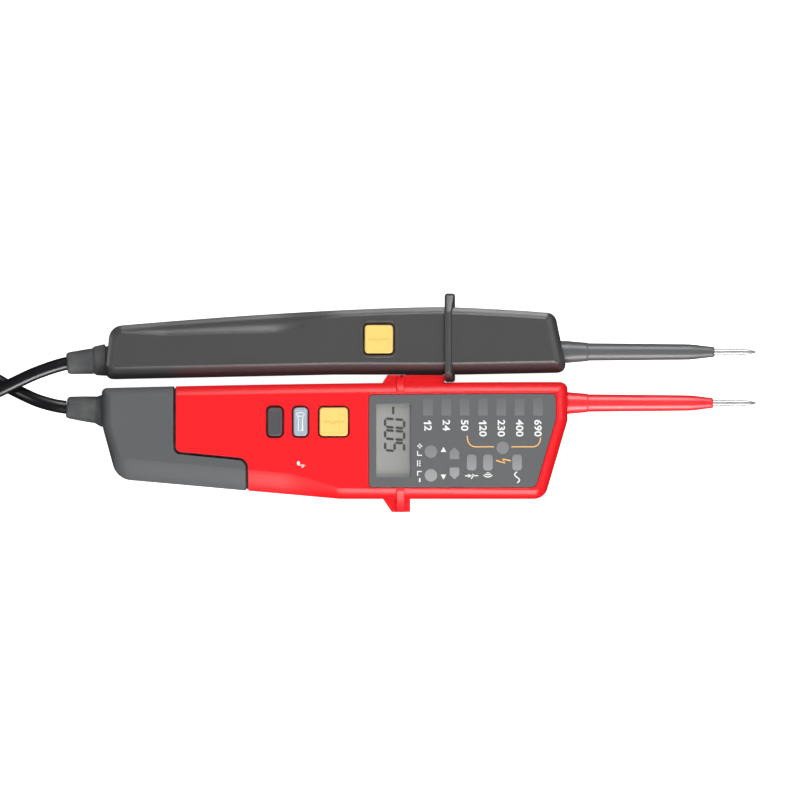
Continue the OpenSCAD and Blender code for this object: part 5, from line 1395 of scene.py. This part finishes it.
screw("casing_screws", "main_unit", main_screws, 1.2, 16, "housing_screws")
screw("second_screws", "second_unit", second_screws, 5.2, 12, "aux_screws")
screw("lid_screw", "battery_lid", [(lid_screw_x, door_mid_y)], 0.1, 9, "door_screw")

# %% Two cells on their springs
cell_r, cell_z, cell_x0 = 5.25, 7.65, -49.0
cell_ys = (door_mid_y - cell_r - 0.3, door_mid_y + cell_r + 0.3)
cell = [(0, 0.3), (0, 3.6), (0.25, 3.9), (0.5, 4.2), (0.3, 4.7), (0.35, 5.0), (0.8, 5.2), (1.4, cell_r),
        (42.0, cell_r), (42.6, 5.15), (42.9, 4.8), (42.9, 4.2), (42.7, 3.2), (42.7, 2.0), (43.2, 1.9),
        (44.2, 1.85), (44.5, 1.5), (44.5, 0.3)]
finish = Finish("cell_label")
x = along(finish, "X")
bare = (x > (cell_x0 + 41.8) * MM) + (x < (cell_x0 + 0.9) * MM)
label = blend(finish, x > (cell_x0 + 30) * MM, paint(58, 60, 64), paint(190, 150, 92))
finish.surface(Base_Color=blend(finish, bare, label, paint(196, 196, 198)), Metallic=bare * 0.9 + 0.1,
               Roughness=0.26 + noise(finish, 5, 3) * 0.12,
               Normal=relief(finish, noise(finish, 0.8, 2), 0.006, 0.5))
piece("two_cells", "main_unit", joined(*(turned(cell, (cell_x0, y, cell_z), (1, 0, 0), 48) for y in cell_ys)),
      finish.owner, "cell_jacket", ("batteries",), 40)


def coil_spring(x0, x1, y, z, r0, r1, wire, turns):
    """A conical spring of round wire between x0 and x1."""
    line = []
    for t in shares(0, 1, int(turns * 20) + 1):
        a, r = 2 * pi * turns * t, r0 + (r1 - r0) * t
        line.append(Vector((x0 + wire + (x1 - x0 - 2 * wire) * t, y + r * cos(a), z + r * sin(a))))
    return tube(line, wire, 8)


springs = [coil_spring(-52.5, -49.05, y, cell_z, 4.2, 1.9, 0.35, 3.5) for y in cell_ys]
piece("two_springs", "main_unit", joined(*springs), nickel, "steel", ("battery_springs",))
print("the springs have", len(springs[0][0]), "points each")

# %% [markdown]
# What is left are the inner parts that the CAD model already shows well enough. They keep their meshes, and
# each gets its finish through its object's own slot: green solder mask over woven glass on the boards, baked
# ceramic on the resistors, a clear moulding for the torch.

# %% Finishes of the inner parts
def board_finish(name, mask):
    finish = Finish(name)
    weave = finish.node("ShaderNodeTexBrick", {"offset": 0.0},
                        {"Vector": place(finish), "Scale": 1400.0, "Mortar Size": 0.06}, out="Fac")
    shade = noise(finish, 14, 3)
    return finish.surface(Base_Color=blend(finish, shade, mask, toned(mask, -0.5)),
                          Roughness=0.35 + shade * 0.15, Normal=relief(finish, weave, 0.01, 0.5))


def baked_ceramic(name, colour):
    finish = Finish(name)
    grit = noise(finish, 0.6, 4)
    return finish.surface(Base_Color=blend(finish, grit, colour, paint(120, 96, 60)),
                          Roughness=0.6 + grit * 0.2, Normal=relief(finish, grit, 0.05, 0.6))


def clear_plastic(name):
    finish = Finish(name)
    haze = noise(finish, 2, 3)
    return finish.surface(Base_Color=(0.93, 0.96, 0.98, 1), Roughness=0.06 + haze * 0.12,
                          Transmission_Weight=0.92, IOR=1.49, Normal=relief(finish, haze, 0.01, 0.4))


inner_parts = {
    white_plastic: ("lcd_holder", "torch_lamp"), nickel: ("battery_plates",),
    brass: ("probe_clip", "aux_probe_clip"),
    board_finish("green_board", (0.02, 0.12, 0.05, 1)): ("main_board", "aux_board"),
    baked_ceramic("ceramic", paint(214, 190, 140)): ("input_resistors",),
    clear_plastic("torch_glass"): ("torch_lens",),
    black_plastic: ("push_switches", "buzzer", "test_plunger", "torch_plunger", "hold_plunger", "aux_switch",
                    "aux_plunger")}
for finish, nodes in inner_parts.items():
    for node in nodes:
        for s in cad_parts[node].material_slots:
            s.link, s.material = "OBJECT", finish
print("carried over from the CAD model:", sum(len(nodes) for nodes in inner_parts.values()), "parts")

# %% The finished box against the CAD's
bpy.context.view_layer.update()
boxes = {"cad": [list(c) for c in cad_box], "shown": [list(c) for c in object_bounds()]}
print("CAD box and shown box, mm:", [[round(v / MM, 2) for v in c] for b in boxes.values() for c in b])
